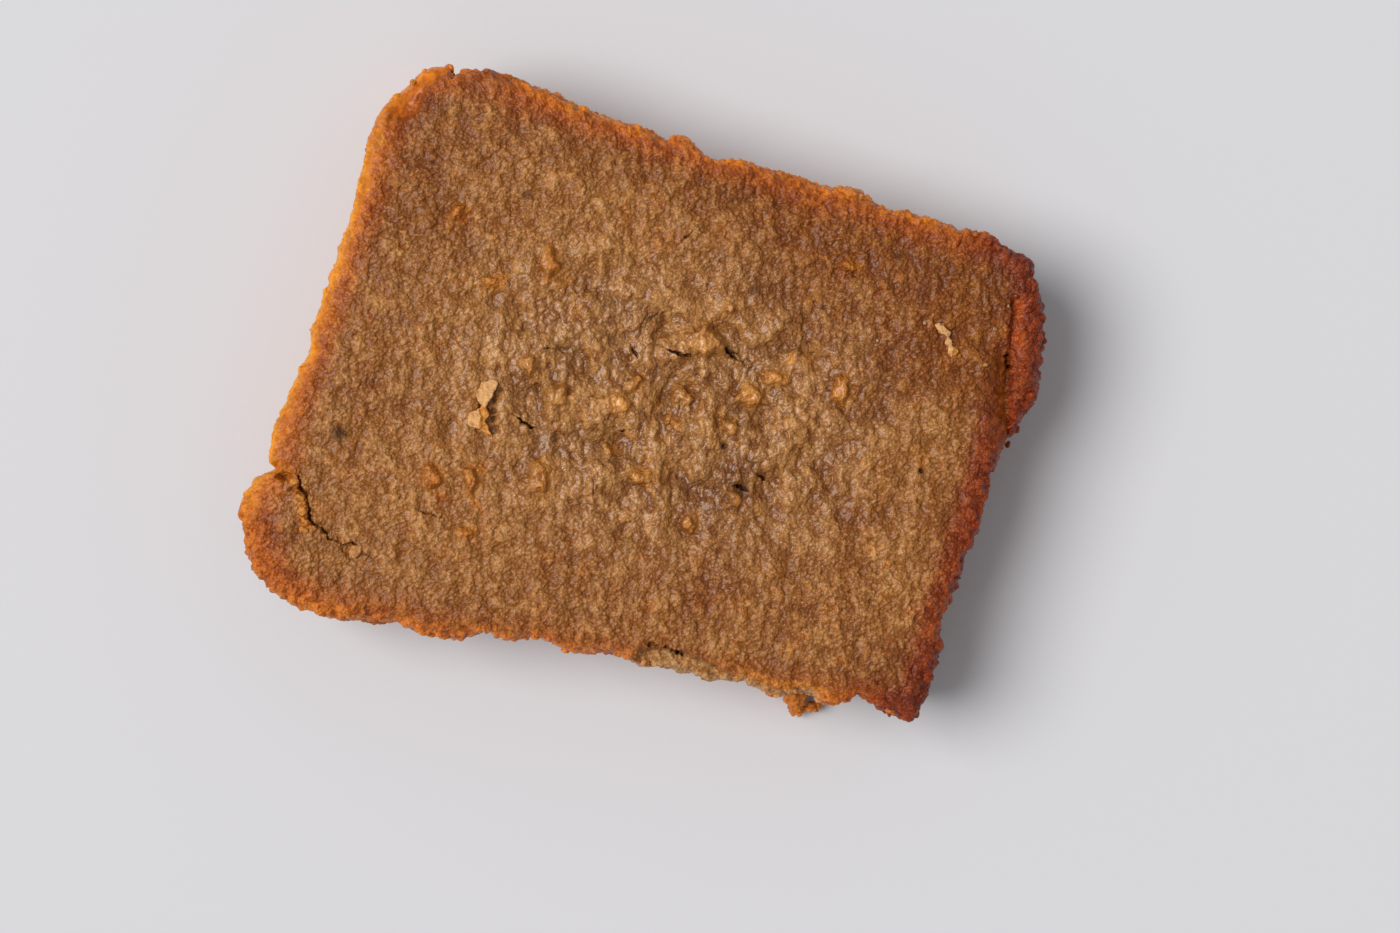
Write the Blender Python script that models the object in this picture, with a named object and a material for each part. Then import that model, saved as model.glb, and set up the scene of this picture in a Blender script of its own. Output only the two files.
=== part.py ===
"""A slab of baked bread pudding that lies flat on its base.

Metres, +Z up. +X runs along the long sides and +Y towards the long side called north. The origin is
under the middle of the slab, on the surface that it rests on. The slab is one piece: a moist, lumpy
top rolls over a browned rim into rough walls, and the broken edges, cracks, flakes and crumbs that
show are relief in that one solid.
"""

import math
from dataclasses import dataclass

import bmesh
import bpy
from mathutils import Vector, noise

MM = 0.001

# Overall sizes. The half sizes are those of the even rectangle that the four corners then pull askew.
HALF_LENGTH = 54.5 * MM
HALF_WIDTH = 41.5 * MM
RIM_HEIGHT = 23.6 * MM
CROWN_RISE = 1.3 * MM

# Where the side lines would meet, in plan, and how far each corner is rounded.
CORNERS = {
    "south_west": ((-57.6 * MM, -45.5 * MM), 15.0 * MM),
    "south_east": ((52.5 * MM, -37.6 * MM), 2.2 * MM),
    "north_west": ((-50.0 * MM, 45.2 * MM), 12.0 * MM),
    "north_east": ((56.0 * MM, 37.1 * MM), 8.5 * MM),
}

# The wall, from the rolled rim down to the base.
RIM_ROLL = 3.2 * MM
WALL_DRAFT = 2.6 * MM
WALL_BELLY = 0.5 * MM
BASE_ROLL = 1.6 * MM
LEAST_CORNER = 0.5 * MM

# The grid that the surface is drawn on.
CELLS_LONG = 54
CELLS_WIDE = 41
RIM_ROWS = 4
WALL_ROWS = 5
BASE_ROWS = 2

# Uneven relief: wavelength, depth, and where in the noise field it is read.
SWELL_LENGTH = 21 * MM
SWELL_DEPTH = 0.75 * MM
CRAG_LENGTH = 6.5 * MM
CRAG_DEPTH = 0.75 * MM
GRAIN_LENGTH = 3.1 * MM
GRAIN_DEPTH = 0.34 * MM
TOP_CRAG_SHARE = 0.35
FOOT_ROUGH_SHARE = 0.4
NOISE_PLACE = Vector((3.7, 11.3, 5.9))

CRUST_COLOUR = (0.30, 0.125, 0.042, 1.0)
CRUST_ROUGHNESS = 0.48


@dataclass(frozen=True)
class Bay:
    """A place along a side where the rim swells out, or is bitten in where out is negative."""

    at: float
    out: float
    half_width: float


NORTH_BAYS = (
    Bay(-41, -0.7, 5), Bay(-22, -0.5, 6), Bay(-13, -1.3, 13), Bay(-7.5, -1.0, 3.5), Bay(-4.9, 0.3, 4), Bay(0, -2.0, 6),
    Bay(2.5, 0.6, 3), Bay(6, -0.8, 9), Bay(16, -1.0, 6), Bay(22.8, 0.5, 2.4), Bay(29, -0.7, 7), Bay(50, -0.9, 5),
)
SOUTH_BAYS = (
    Bay(-44, -0.6, 4), Bay(-40, 0.5, 5), Bay(-29.5, -1.0, 3), Bay(-16, -2.0, 5), Bay(-8, -2.6, 8), Bay(3, -2.0, 9),
    Bay(14, -1.5, 9), Bay(24, -1.6, 7), Bay(34, -0.9, 5), Bay(41, -0.5, 4), Bay(43, -2.2, 4), Bay(51, 0.6, 3),
)
WEST_BAYS = (
    Bay(35.5, 0.8, 4), Bay(29, 1.5, 10), Bay(-5.5, -0.9, 3.5), Bay(-17, 0.7, 4), Bay(-24.4, -0.4, 2), Bay(-31, 2.0, 7.5),
)
EAST_BAYS = (Bay(33.5, -1.8, 4), Bay(25, 1.2, 7), Bay(17, 2.7, 11.5), Bay(-20, -1.0, 8))
BAY_REACH = 9 * MM
BAY_AT_FOOT = 0.3


@dataclass(frozen=True)
class Lump:
    """A swelling of the moist top, in millimetres: its place, half sizes, height and turn in degrees."""

    x: float
    y: float
    half_x: float
    half_y: float
    height: float
    turn: float = 0.0


LUMPS = (
    Lump(-14.3, -2.1, 3.0, 2.8, 1.4), Lump(-5.4, -1.4, 3.2, 2.5, 1.1), Lump(-3.0, 2.6, 1.5, 2.6, 0.8, 14),
    Lump(5.9, 11.5, 4.5, 4.0, 1.5), Lump(4.2, 2.4, 2.8, 1.9, 0.8), Lump(3.5, -1.9, 2.0, 1.9, 0.7),
    Lump(14.2, 4.5, 3.3, 2.7, 1.0, 14), Lump(12.9, -0.6, 2.1, 2.0, 0.8), Lump(27.8, 9.3, 2.6, 3.6, 1.1, 14),
    Lump(17.8, 8.6, 3.7, 1.6, 0.8, -5), Lump(1.1, -11.4, 3.2, 2.4, 0.9), Lump(-30.3, -19.4, 2.5, 2.3, 0.8),
    Lump(-13.7, -15.1, 2.8, 4.0, 0.9, 14), Lump(-23.9, -17.9, 2.1, 3.8, 1.2, 14),
    Lump(-20.4, 17.3, 1.7, 4.2, 1.1, 14), Lump(-19.9, 1.2, 1.7, 2.5, 0.7, 14),
    Lump(-28.4, 12.5, 2.2, 2.0, 0.7), Lump(-36.3, 21.3, 2.3, 2.0, 0.6), Lump(-4.4, -8.4, 1.8, 1.8, 0.6),
    Lump(10.4, -16.7, 1.9, 2.0, 0.8), Lump(16.3, -11.7, 2.0, 2.0, 0.7), Lump(24.7, 28.2, 1.9, 1.8, 0.6),
    Lump(8.5, 17.1, 1.9, 1.8, 0.7), Lump(-23.1, -26.6, 1.8, 1.8, 0.6),
)
# The north-west corner has sunk a little behind its rim.
SUNK_CORNER = Lump(-50.0, 38.0, 6.0, 8.0, -2.4, -30)


@dataclass(frozen=True)
class Crack:
    """A split in the top, in millimetres: the points it runs through, its widest gape and its depth."""

    name: str
    points: tuple
    gape: float
    depth: float


CORNER_SPLIT = (
    (-60.0, -24.8), (-55.4, -24.4), (-52.3, -24.6), (-50.0, -25.2), (-48.6, -27.0),
    (-47.4, -29.6), (-45.8, -31.0), (-43.6, -32.4), (-41.0, -33.0), (-40.4, -35.0),
)
EAST_SPLIT = ((51.3, 27.0), (51.9, 23.5), (52.3, 20.0), (52.6, 17.0), (53.4, 13.8), (54.0, 10.5), (54.0, 7.6))
CRACKS = (
    Crack("corner_split", CORNER_SPLIT, 1.5, 6.0),
    Crack("corner_branch", ((-41.0, -33.0), (-38.4, -32.7), (-35.5, -34.0)), 0.7, 2.0),
    Crack("east_split", EAST_SPLIT, 1.7, 6.0),
    Crack("flake_crack", ((-19.9, -6.8), (-18.4, -7.7), (-16.0, -8.0)), 0.9, 2.2),
    Crack("east_of_dome", ((8.6, 11.5), (10.6, 10.1), (13.0, 9.4)), 0.9, 2.2),
    Crack("south_of_dome", ((-0.3, 9.1), (0.8, 8.5), (4.4, 8.6)), 0.8, 2.0),
    Crack("south_stain", ((15.2, -9.4), (16.7, -9.2), (18.4, -9.7)), 0.8, 1.8),
)
# How far a cutter stands clear above the top, its foot's share of its gape, and its share at the ends.
CRACK_CLEAR = 3 * MM
CRACK_FOOT = 0.2
CRACK_ENDS = 0.25

# Where the top crust has broken off the south rim and bares the crumb below it.
BREAK_FROM = 6.5 * MM
BREAK_TO = 25.5 * MM
BREAK_INNER = -36.4 * MM
BREAK_OUTER = -44 * MM
BREAK_DEPTH = 4.2 * MM
BREAK_FADE = 1.5 * MM
BREAK_ENDS_IN = 2.2 * MM
BREAK_JAG = 1.3 * MM
BREAK_JAG_LENGTH = 2.3 * MM
BREAK_FLOOR_ROUGH = 0.9 * MM
BREAK_FLOOR_LENGTH = 3.1 * MM
BREAK_LEAN = 0.3 * MM
BREAK_FALL = 1.5 * MM
BREAK_CEILING = RIM_HEIGHT + 4 * MM
BREAK_STEPS = 10

# Crumbs that cling to the slab: centre in millimetres, radius in millimetres.
CRUMBS = (
    ("slope_crumb_1", (28.3, -36.6, 14.5), 2.4),
    ("slope_crumb_2", (33.0, -36.4, 14.0), 2.9),
    ("slope_crumb_3", (31.0, -37.2, 8.6), 3.4),
    ("slope_crumb_4", (35.6, -36.6, 8.0), 2.8),
    ("foot_crumb_1", (30.4, -38.7, 3.3), 2.3),
    ("foot_crumb_2", (33.9, -39.4, 3.4), 3.1),
    ("foot_crumb_3", (34.3, -41.6, 2.2), 1.9),
    ("foot_crumb_4", (36.9, -40.9, 1.9), 1.5),
    ("foot_crumb_5", (37.5, -38.4, 3.2), 2.0),
    ("north_knob", (22.6, 37.9, 21.2), 2.4),
    ("rim_crumb_1", (25.4, -37.4, 21.8), 2.0),
    ("rim_crumb_2", (-0.6, 40.6, 21.4), 1.4),
)
CRUMB_ROUGHNESS = 0.56
# The share of its radius that a crumb at the foot stays above what the slab rests on.
CRUMB_CLEAR = 0.12

# The curled scrap that lies on the top, and a smaller one near the east rim.
FLAKES = (
    ("top_flake", (-24.3, -6.7), (2.3, 4.4), -4.0, 1.5),
    ("east_flake", (42.4, 20.8), (1.0, 2.2), 42.0, 0.8),
)
FLAKE_CELLS = 6
FLAKE_SINK = 0.9 * MM
FLAKE_CORNER = 0.7
FLAKE_WAIST = 0.35
FLAKE_CURL = 0.54 * MM
FLAKE_WAVE = 0.45 * MM
FLAKE_WAVE_LENGTH = 2 * MM


def smooth(value):
    """0 below 0, 1 above 1, and an even S between."""
    value = min(1.0, max(0.0, value))
    return value * value * (3 - 2 * value)


def bell(distance):
    """1 at 0, falling to 0 at 1 and beyond."""
    return math.cos(math.pi / 2 * min(1.0, abs(distance))) ** 2


def clear_scene():
    """Removes what the file opened with."""
    for old in list(bpy.data.objects):
        bpy.data.objects.remove(old)


def bay_push(bays, along):
    """How far the rim stands out at this place along a side."""
    return sum(bay.out * MM * bell((along - bay.at * MM) / (bay.half_width * MM)) for bay in bays)


def corner_radius(x, y):
    """The rounding of the corner on this side of both middle lines."""
    name = ("north" if y > 0 else "south") + ("_east" if x > 0 else "_west")
    return CORNERS[name][1]


def rounded(x, y, half_x, half_y, radius):
    """Moves a point of a rectangle so that the rectangle's corner becomes a quarter circle."""
    over_x = abs(x) - (half_x - radius)
    over_y = abs(y) - (half_y - radius)
    if over_x <= 0 or over_y <= 0:
        return x, y
    share = max(over_x, over_y) / math.hypot(over_x, over_y)
    return (
        math.copysign(half_x - radius + over_x * share, x),
        math.copysign(half_y - radius + over_y * share, y),
    )


def plan_point(s, t, inset, foot=0.0):
    """The plan place of grid place (s, t), each from -1 to 1, on the outline drawn in by inset.

    foot is 0 at the rim and 1 at the base, where the bays have almost died out.
    """
    half_x, half_y = HALF_LENGTH - inset, HALF_WIDTH - inset
    radius = max(corner_radius(s, t) - inset, LEAST_CORNER)
    even_x, even_y = rounded(s * half_x, t * half_y, half_x, half_y, radius)
    east, north = (even_x / HALF_LENGTH + 1) / 2, (even_y / HALF_WIDTH + 1) / 2
    x, y = (
        (1 - east) * (1 - north) * CORNERS["south_west"][0][axis]
        + east * (1 - north) * CORNERS["south_east"][0][axis]
        + (1 - east) * north * CORNERS["north_west"][0][axis]
        + east * north * CORNERS["north_east"][0][axis]
        for axis in (0, 1)
    )
    strength = 1 - (1 - BAY_AT_FOOT) * foot
    near_north, near_south, near_east, near_west = (
        strength * max(0.0, 1 - gap / BAY_REACH) ** 2
        for gap in (HALF_WIDTH - even_y, HALF_WIDTH + even_y, HALF_LENGTH - even_x, HALF_LENGTH + even_x)
    )
    push_x = near_east * bay_push(EAST_BAYS, y) - near_west * bay_push(WEST_BAYS, y)
    push_y = near_north * bay_push(NORTH_BAYS, x) - near_south * bay_push(SOUTH_BAYS, x)
    return x + push_x, y + push_y


def lump_rise(x, y):
    """The height that the lumps add at a place on the top."""
    rise = 0.0
    for lump in (*LUMPS, SUNK_CORNER):
        turn = math.radians(lump.turn)
        away_x, away_y = x - lump.x * MM, y - lump.y * MM
        along = (away_x * math.cos(turn) + away_y * math.sin(turn)) / (lump.half_x * MM)
        across = (away_y * math.cos(turn) - away_x * math.sin(turn)) / (lump.half_y * MM)
        rise += lump.height * MM * bell(math.hypot(along, across))
    return rise


def top_height(x, y):
    """The height of the top: a low crown, broad swells and the lumps."""
    crown = CROWN_RISE * (1 - (x / HALF_LENGTH) ** 2) * (1 - (y / HALF_WIDTH) ** 2)
    swell = SWELL_DEPTH * noise.noise(Vector((x, y, 0)) / SWELL_LENGTH + NOISE_PLACE)
    return RIM_HEIGHT + crown + swell + lump_rise(x, y)


def relief(place, upward):
    """How far the surface stands out at a place. upward is 1 on the top and 0 on a wall."""
    crag = noise.noise(place / CRAG_LENGTH + NOISE_PLACE) * CRAG_DEPTH
    grain = noise.noise(place / GRAIN_LENGTH - NOISE_PLACE) * GRAIN_DEPTH
    return crag * (1 - (1 - TOP_CRAG_SHARE) * upward) + grain


def square_edge():
    """The grid places round the outline, anticlockwise from the south-west."""
    east = [(-1 + 2 * i / CELLS_LONG, -1.0) for i in range(CELLS_LONG)]
    north = [(1.0, -1 + 2 * j / CELLS_WIDE) for j in range(CELLS_WIDE)]
    return east + north + [(-s, -t) for s, t in east] + [(-s, -t) for s, t in north]


def wall_rows():
    """The rows below the plateau, from the rim down, as (inset, drop from the rim, height share)."""
    rows = []
    for k in range(1, RIM_ROWS + 1):
        turn = math.pi / 2 * k / RIM_ROWS
        rows.append((RIM_ROLL * (1 - math.sin(turn)), RIM_ROLL * (1 - math.cos(turn)), None))
    for k in range(1, WALL_ROWS + 1):
        share = k / WALL_ROWS
        inset = WALL_DRAFT * share - WALL_BELLY * math.sin(math.pi * share)
        rows.append((inset, RIM_ROLL, share))
    return rows


def add_plateau(mesh):
    """The grid of the top, and its vertices by grid place."""
    grid = {}
    for i in range(CELLS_LONG + 1):
        for j in range(CELLS_WIDE + 1):
            s, t = -1 + 2 * i / CELLS_LONG, -1 + 2 * j / CELLS_WIDE
            x, y = plan_point(s, t, RIM_ROLL)
            grid[i, j] = mesh.verts.new((x, y, top_height(x, y)))
    for i in range(CELLS_LONG):
        for j in range(CELLS_WIDE):
            mesh.faces.new((grid[i, j], grid[i + 1, j], grid[i + 1, j + 1], grid[i, j + 1]))
    return grid


def add_wall(mesh, grid):
    """The rolled rim, the wall, the rolled foot and the flat base."""
    edge = square_edge()
    ring = [grid[round((s + 1) / 2 * CELLS_LONG), round((t + 1) / 2 * CELLS_WIDE)] for s, t in edge]
    rim = [vertex.co.z for vertex in ring]
    levels = []
    for inset, drop, share in wall_rows():
        if share is None:
            heights = [z - drop for z in rim]
        else:
            heights = [(z - drop) * (1 - share) + BASE_ROLL * share for z in rim]
        levels.append((inset, heights, share or 0.0))
    for k in range(1, BASE_ROWS + 1):
        turn = math.pi / 2 * k / BASE_ROWS
        inset = WALL_DRAFT + BASE_ROLL * (1 - math.cos(turn))
        levels.append((inset, [BASE_ROLL * (1 - math.sin(turn))] * len(edge), 1.0))
    for inset, heights, foot in levels:
        below = [mesh.verts.new((*plan_point(s, t, inset, foot), z)) for (s, t), z in zip(edge, heights)]
        for k in range(len(edge)):
            following = (k + 1) % len(edge)
            mesh.faces.new((ring[k], below[k], below[following], ring[following]))
        ring = below
    mesh.faces.new(list(reversed(ring)))


def roughen(mesh):
    """Pushes the surface out and in along its normals. The flat base keeps its height."""
    mesh.normal_update()
    pushes = []
    for vertex in mesh.verts:
        upward = smooth(vertex.normal.z)
        foot = smooth(vertex.co.z / (2 * BASE_ROLL))
        push = vertex.normal * relief(vertex.co, upward)
        push.z *= foot
        pushes.append(push * (FOOT_ROUGH_SHARE + (1 - FOOT_ROUGH_SHARE) * foot))
    for vertex, push in zip(mesh.verts, pushes):
        vertex.co += push


def crust_material():
    """The browned crust."""
    material = bpy.data.materials.new("baked_crust")
    material.use_nodes = True
    shader = material.node_tree.nodes["Principled BSDF"]
    shader.inputs["Base Color"].default_value = CRUST_COLOUR
    shader.inputs["Roughness"].default_value = CRUST_ROUGHNESS
    shader.inputs["Metallic"].default_value = 0.0
    return material


def to_object(mesh, name):
    """Turns a finished bmesh into an object. Flat triangles let the Booleans cut cleanly."""
    data = bpy.data.meshes.new(name)
    bmesh.ops.triangulate(mesh, faces=mesh.faces)
    bmesh.ops.recalc_face_normals(mesh, faces=mesh.faces)
    mesh.to_mesh(data)
    mesh.free()
    made = bpy.data.objects.new(name, data)
    bpy.context.scene.collection.objects.link(made)
    return made


def build_slab():
    """The slab itself, before anything is broken from it or clings to it."""
    mesh = bmesh.new()
    grid = add_plateau(mesh)
    add_wall(mesh, grid)
    roughen(mesh)
    return to_object(mesh, "bread_pudding")


def build_crumb(name, centre, radius):
    """A rough, rounded crumb."""
    mesh = bmesh.new()
    bmesh.ops.create_icosphere(mesh, subdivisions=2, radius=radius * MM)
    for vertex in mesh.verts:
        place = vertex.co / (radius * MM) + Vector(centre)
        vertex.co *= 1 + CRUMB_ROUGHNESS * noise.noise(place)
        vertex.co += Vector(centre) * MM
        vertex.co.z = max(vertex.co.z, CRUMB_CLEAR * radius * MM)
    return to_object(mesh, name)


def build_flake(name, centre, half_size, turn, thickness):
    """A wavy scrap of crust whose underside is sunk in the top."""
    mesh = bmesh.new()
    angle = math.radians(turn)
    floor = top_height(centre[0] * MM, centre[1] * MM) - FLAKE_SINK
    sheets = []
    for lift in (0.0, thickness * MM):
        rows = []
        for i in range(FLAKE_CELLS + 1):
            row = []
            for j in range(FLAKE_CELLS + 1):
                s, t = -1 + 2 * i / FLAKE_CELLS, -1 + 2 * j / FLAKE_CELLS
                s, t = rounded(s, t, 1.0, 1.0, FLAKE_CORNER)
                waist = 1 - FLAKE_WAIST * bell(t * 2)
                across, along = s * half_size[0] * MM * waist, t * half_size[1] * MM
                x = centre[0] * MM + across * math.cos(angle) - along * math.sin(angle)
                y = centre[1] * MM + across * math.sin(angle) + along * math.cos(angle)
                wave = FLAKE_WAVE * noise.noise(Vector((x, y, 0)) / FLAKE_WAVE_LENGTH)
                curl = FLAKE_CURL * s * s + wave if lift else 0.0
                row.append(mesh.verts.new((x, y, floor + lift + curl)))
            rows.append(row)
        sheets.append(rows)
    under, over = sheets
    for i in range(FLAKE_CELLS):
        for j in range(FLAKE_CELLS):
            mesh.faces.new((over[i][j], over[i + 1][j], over[i + 1][j + 1], over[i][j + 1]))
            mesh.faces.new((under[i][j + 1], under[i + 1][j + 1], under[i + 1][j], under[i][j]))
    last = FLAKE_CELLS
    rim = [(i, 0) for i in range(last)] + [(last, j) for j in range(last)]
    rim += [(last - i, last) for i in range(last)] + [(0, last - j) for j in range(last)]
    for (i, j), (k, m) in zip(rim, rim[1:] + rim[:1]):
        mesh.faces.new((under[i][j], under[k][m], over[k][m], over[i][j]))
    return to_object(mesh, name)


def add_tube(mesh, sections):
    """Joins sections of equal count into one closed tube."""
    for one, following in zip(sections, sections[1:]):
        for k in range(len(one)):
            m = (k + 1) % len(one)
            mesh.faces.new((one[k], one[m], following[m], following[k]))
    mesh.faces.new(sections[0])
    mesh.faces.new(list(reversed(sections[-1])))


def build_crack_cutter(crack):
    """A thin wedge that opens a crack from above. It narrows to nothing at both ends."""
    mesh = bmesh.new()
    points = [Vector((x * MM, y * MM, 0)) for x, y in crack.points]
    sections = []
    for k, point in enumerate(points):
        ahead = points[min(k + 1, len(points) - 1)] - points[max(k - 1, 0)]
        side = Vector((-ahead.y, ahead.x, 0)).normalized()
        ends = CRACK_ENDS + (1 - CRACK_ENDS) * math.sin(math.pi * (k + 0.5) / len(points))
        surface = top_height(point.x, point.y)
        depth = crack.depth * MM * ends
        gape = side * (crack.gape * MM / 2 * ends)
        top = Vector((point.x, point.y, surface + CRACK_CLEAR))
        foot = Vector((point.x, point.y, surface - depth))
        spread = 1 + CRACK_CLEAR / depth
        mouth, bottom = gape * spread, gape * CRACK_FOOT
        places = (top - mouth, foot - bottom, foot + bottom, top + mouth)
        sections.append([mesh.verts.new(place) for place in places])
    add_tube(mesh, sections)
    return to_object(mesh, "cut_" + crack.name)


def build_break_cutter():
    """A block with a jagged inner face, which takes the top crust off a stretch of the south rim."""
    mesh = bmesh.new()
    sections = []
    for k in range(BREAK_STEPS + 1):
        share = k / BREAK_STEPS
        x = BREAK_FROM + (BREAK_TO - BREAK_FROM) * share
        ends = math.sin(math.pi * share) ** 0.5 if 0 < share < 1 else 0.0
        jag = BREAK_JAG * noise.noise(Vector((x / BREAK_JAG_LENGTH, 0, 0)) + NOISE_PLACE)
        inner = BREAK_INNER - BREAK_ENDS_IN * (1 - ends) + jag
        rough = BREAK_FLOOR_ROUGH * noise.noise(Vector((x / BREAK_FLOOR_LENGTH, 0, 0)) - NOISE_PLACE)
        floor = RIM_HEIGHT + BREAK_FADE - (BREAK_DEPTH + BREAK_FADE - rough) * ends
        corners = (
            (inner - BREAK_LEAN, floor),
            (BREAK_OUTER, floor - BREAK_FALL),
            (BREAK_OUTER, BREAK_CEILING),
            (inner, BREAK_CEILING),
        )
        sections.append([mesh.verts.new((x, y, z)) for y, z in corners])
    add_tube(mesh, sections)
    return to_object(mesh, "cut_south_break")


def apply_boolean(target, others, operation):
    """Joins others to target, or cuts them from it, and removes them."""
    group = bpy.data.collections.new(operation.lower())
    bpy.context.scene.collection.children.link(group)
    for other in others:
        group.objects.link(other)
    modifier = target.modifiers.new(operation.lower(), "BOOLEAN")
    modifier.operation = operation
    modifier.operand_type = "COLLECTION"
    modifier.collection = group
    modifier.solver = "EXACT"
    graph = bpy.context.evaluated_depsgraph_get()
    result = bpy.data.meshes.new_from_object(target.evaluated_get(graph))
    target.modifiers.clear()
    target.data = result
    for other in others:
        bpy.data.objects.remove(other)
    bpy.data.collections.remove(group)


def main():
    """Builds the slab, breaks it where it is broken, and fuses what clings to it."""
    clear_scene()
    slab = build_slab()
    cutters = [build_crack_cutter(crack) for crack in CRACKS]
    cutters.append(build_break_cutter())
    apply_boolean(slab, cutters, "DIFFERENCE")
    clinging = [build_crumb(name, centre, radius) for name, centre, radius in CRUMBS]
    clinging += [build_flake(*flake) for flake in FLAKES]
    apply_boolean(slab, clinging, "UNION")
    slab.data.materials.clear()
    slab.data.materials.append(crust_material())
    slab.data.shade_smooth()


main()
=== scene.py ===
"""The looks of a slab of baked bread pudding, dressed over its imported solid.

Metres, +Z up, in the solid's own frame: +X runs along the long sides and +Y towards the long side
called north. The slab's surface is drawn on one fine grid with the solid's form, then split, sunk,
torn and cracked where the pudding is, and a Geometry Nodes tree raises its grain. The crumbs and
flakes that cling to it are pieces of their own. Sizes in the dataclasses are in millimetres.
"""

import logging
import math
from dataclasses import dataclass
from enum import Enum

import bmesh
import bpy
import numpy as np
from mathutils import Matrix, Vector, noise


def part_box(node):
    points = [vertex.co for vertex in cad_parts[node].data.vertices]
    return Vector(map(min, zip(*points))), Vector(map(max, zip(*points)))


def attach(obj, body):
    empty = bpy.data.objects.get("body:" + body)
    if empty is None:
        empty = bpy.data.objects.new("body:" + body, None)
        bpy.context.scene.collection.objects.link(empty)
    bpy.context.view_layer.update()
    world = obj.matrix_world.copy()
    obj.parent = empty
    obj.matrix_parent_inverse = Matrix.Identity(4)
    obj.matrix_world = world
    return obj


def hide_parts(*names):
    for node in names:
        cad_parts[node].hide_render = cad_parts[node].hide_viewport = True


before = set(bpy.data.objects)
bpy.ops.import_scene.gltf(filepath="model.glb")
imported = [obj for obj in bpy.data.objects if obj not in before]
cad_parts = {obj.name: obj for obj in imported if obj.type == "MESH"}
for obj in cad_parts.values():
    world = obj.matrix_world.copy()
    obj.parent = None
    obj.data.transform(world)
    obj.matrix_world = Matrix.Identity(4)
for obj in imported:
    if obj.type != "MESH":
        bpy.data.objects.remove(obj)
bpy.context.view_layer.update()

LOG = logging.getLogger("bread_pudding")

MM = 0.001
NODE = "bread_pudding"
BODY = "root"

Plan = tuple[float, float]
Colour = tuple[float, float, float]


# Small maths on arrays.


def smooth(value: np.ndarray) -> np.ndarray:
    """Returns 0 below 0, 1 above 1, and an even S between."""
    value = np.clip(value, 0.0, 1.0)
    return value * value * (3 - 2 * value)


def rise(value: np.ndarray, low: float, high: float) -> np.ndarray:
    """Returns 0 up to low, 1 from high on, and an even S between. Low may be the larger."""
    return smooth((value - low) / (high - low))


def bell(distance: np.ndarray) -> np.ndarray:
    """Returns 1 at 0, falling to 0 at 1 and beyond."""
    return np.cos(math.pi / 2 * np.minimum(1.0, np.abs(distance))) ** 2


def uneven(places: np.ndarray, wavelength: float, shift: Plan | tuple = (0.0, 0.0, 0.0)) -> np.ndarray:
    """Reads a fixed noise field.

    Args:
        places: Points, one to a row, in metres.
        wavelength: The size of the unevenness, in millimetres.
        shift: Where in the field it is read.

    Returns:
        One value to a point, from about -1 to 1.
    """
    scaled = places / (wavelength * MM) + np.array(shift)
    return np.array([noise.noise(place) for place in scaled.tolist()])


def linear(red: int, green: int, blue: int) -> Colour:
    """Turns a colour as a screen shows it, 0 to 255, into linear values."""
    parts = [part / 255 for part in (red, green, blue)]
    return tuple(p / 12.92 if p <= 0.04045 else ((p + 0.055) / 1.055) ** 2.4 for p in parts)


# Node trees, written as expressions.


class Wire:
    """A socket that takes part in Python expressions. Each operator adds its Math node."""

    def __init__(self, tree: "Tree", socket: bpy.types.NodeSocket) -> None:
        """Wraps a socket of a tree."""
        self.tree = tree
        self.socket = socket

    def _math(self, operation: str, *values: "Wire | float") -> "Wire":
        """Adds a Math node on these values."""
        return self.tree.add("ShaderNodeMath", {"operation": operation}, dict(enumerate(values)))

    def __add__(self, other: "Wire | float") -> "Wire":
        """Adds."""
        return self._math("ADD", self, other)

    __radd__ = __add__

    def __mul__(self, other: "Wire | float") -> "Wire":
        """Multiplies."""
        return self._math("MULTIPLY", self, other)

    __rmul__ = __mul__

    def __sub__(self, other: "Wire | float") -> "Wire":
        """Takes other away."""
        return self._math("SUBTRACT", self, other)

    def __rsub__(self, other: float) -> "Wire":
        """Is taken away from other."""
        return self._math("SUBTRACT", other, self)

    def __truediv__(self, other: "Wire | float") -> "Wire":
        """Divides by other."""
        return self._math("DIVIDE", self, other)

    def __rtruediv__(self, other: float) -> "Wire":
        """Divides other."""
        return self._math("DIVIDE", other, self)

    def __pow__(self, other: "Wire | float") -> "Wire":
        """Raises to a power."""
        return self._math("POWER", self, other)

    def at_most(self, other: "Wire | float") -> "Wire":
        """The smaller of the two."""
        return self._math("MINIMUM", self, other)

    def at_least(self, other: "Wire | float") -> "Wire":
        """The larger of the two."""
        return self._math("MAXIMUM", self, other)

    def size(self) -> "Wire":
        """The value without its sign."""
        return self._math("ABSOLUTE", self)

    def between(self, low: float, high: float) -> "Wire":
        """0 up to low, 1 from high on, and an even S between."""
        ports = {"Value": self, "From Min": low, "From Max": high}
        return self.tree.add("ShaderNodeMapRange", {"interpolation_type": "SMOOTHSTEP"}, ports)


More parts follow.
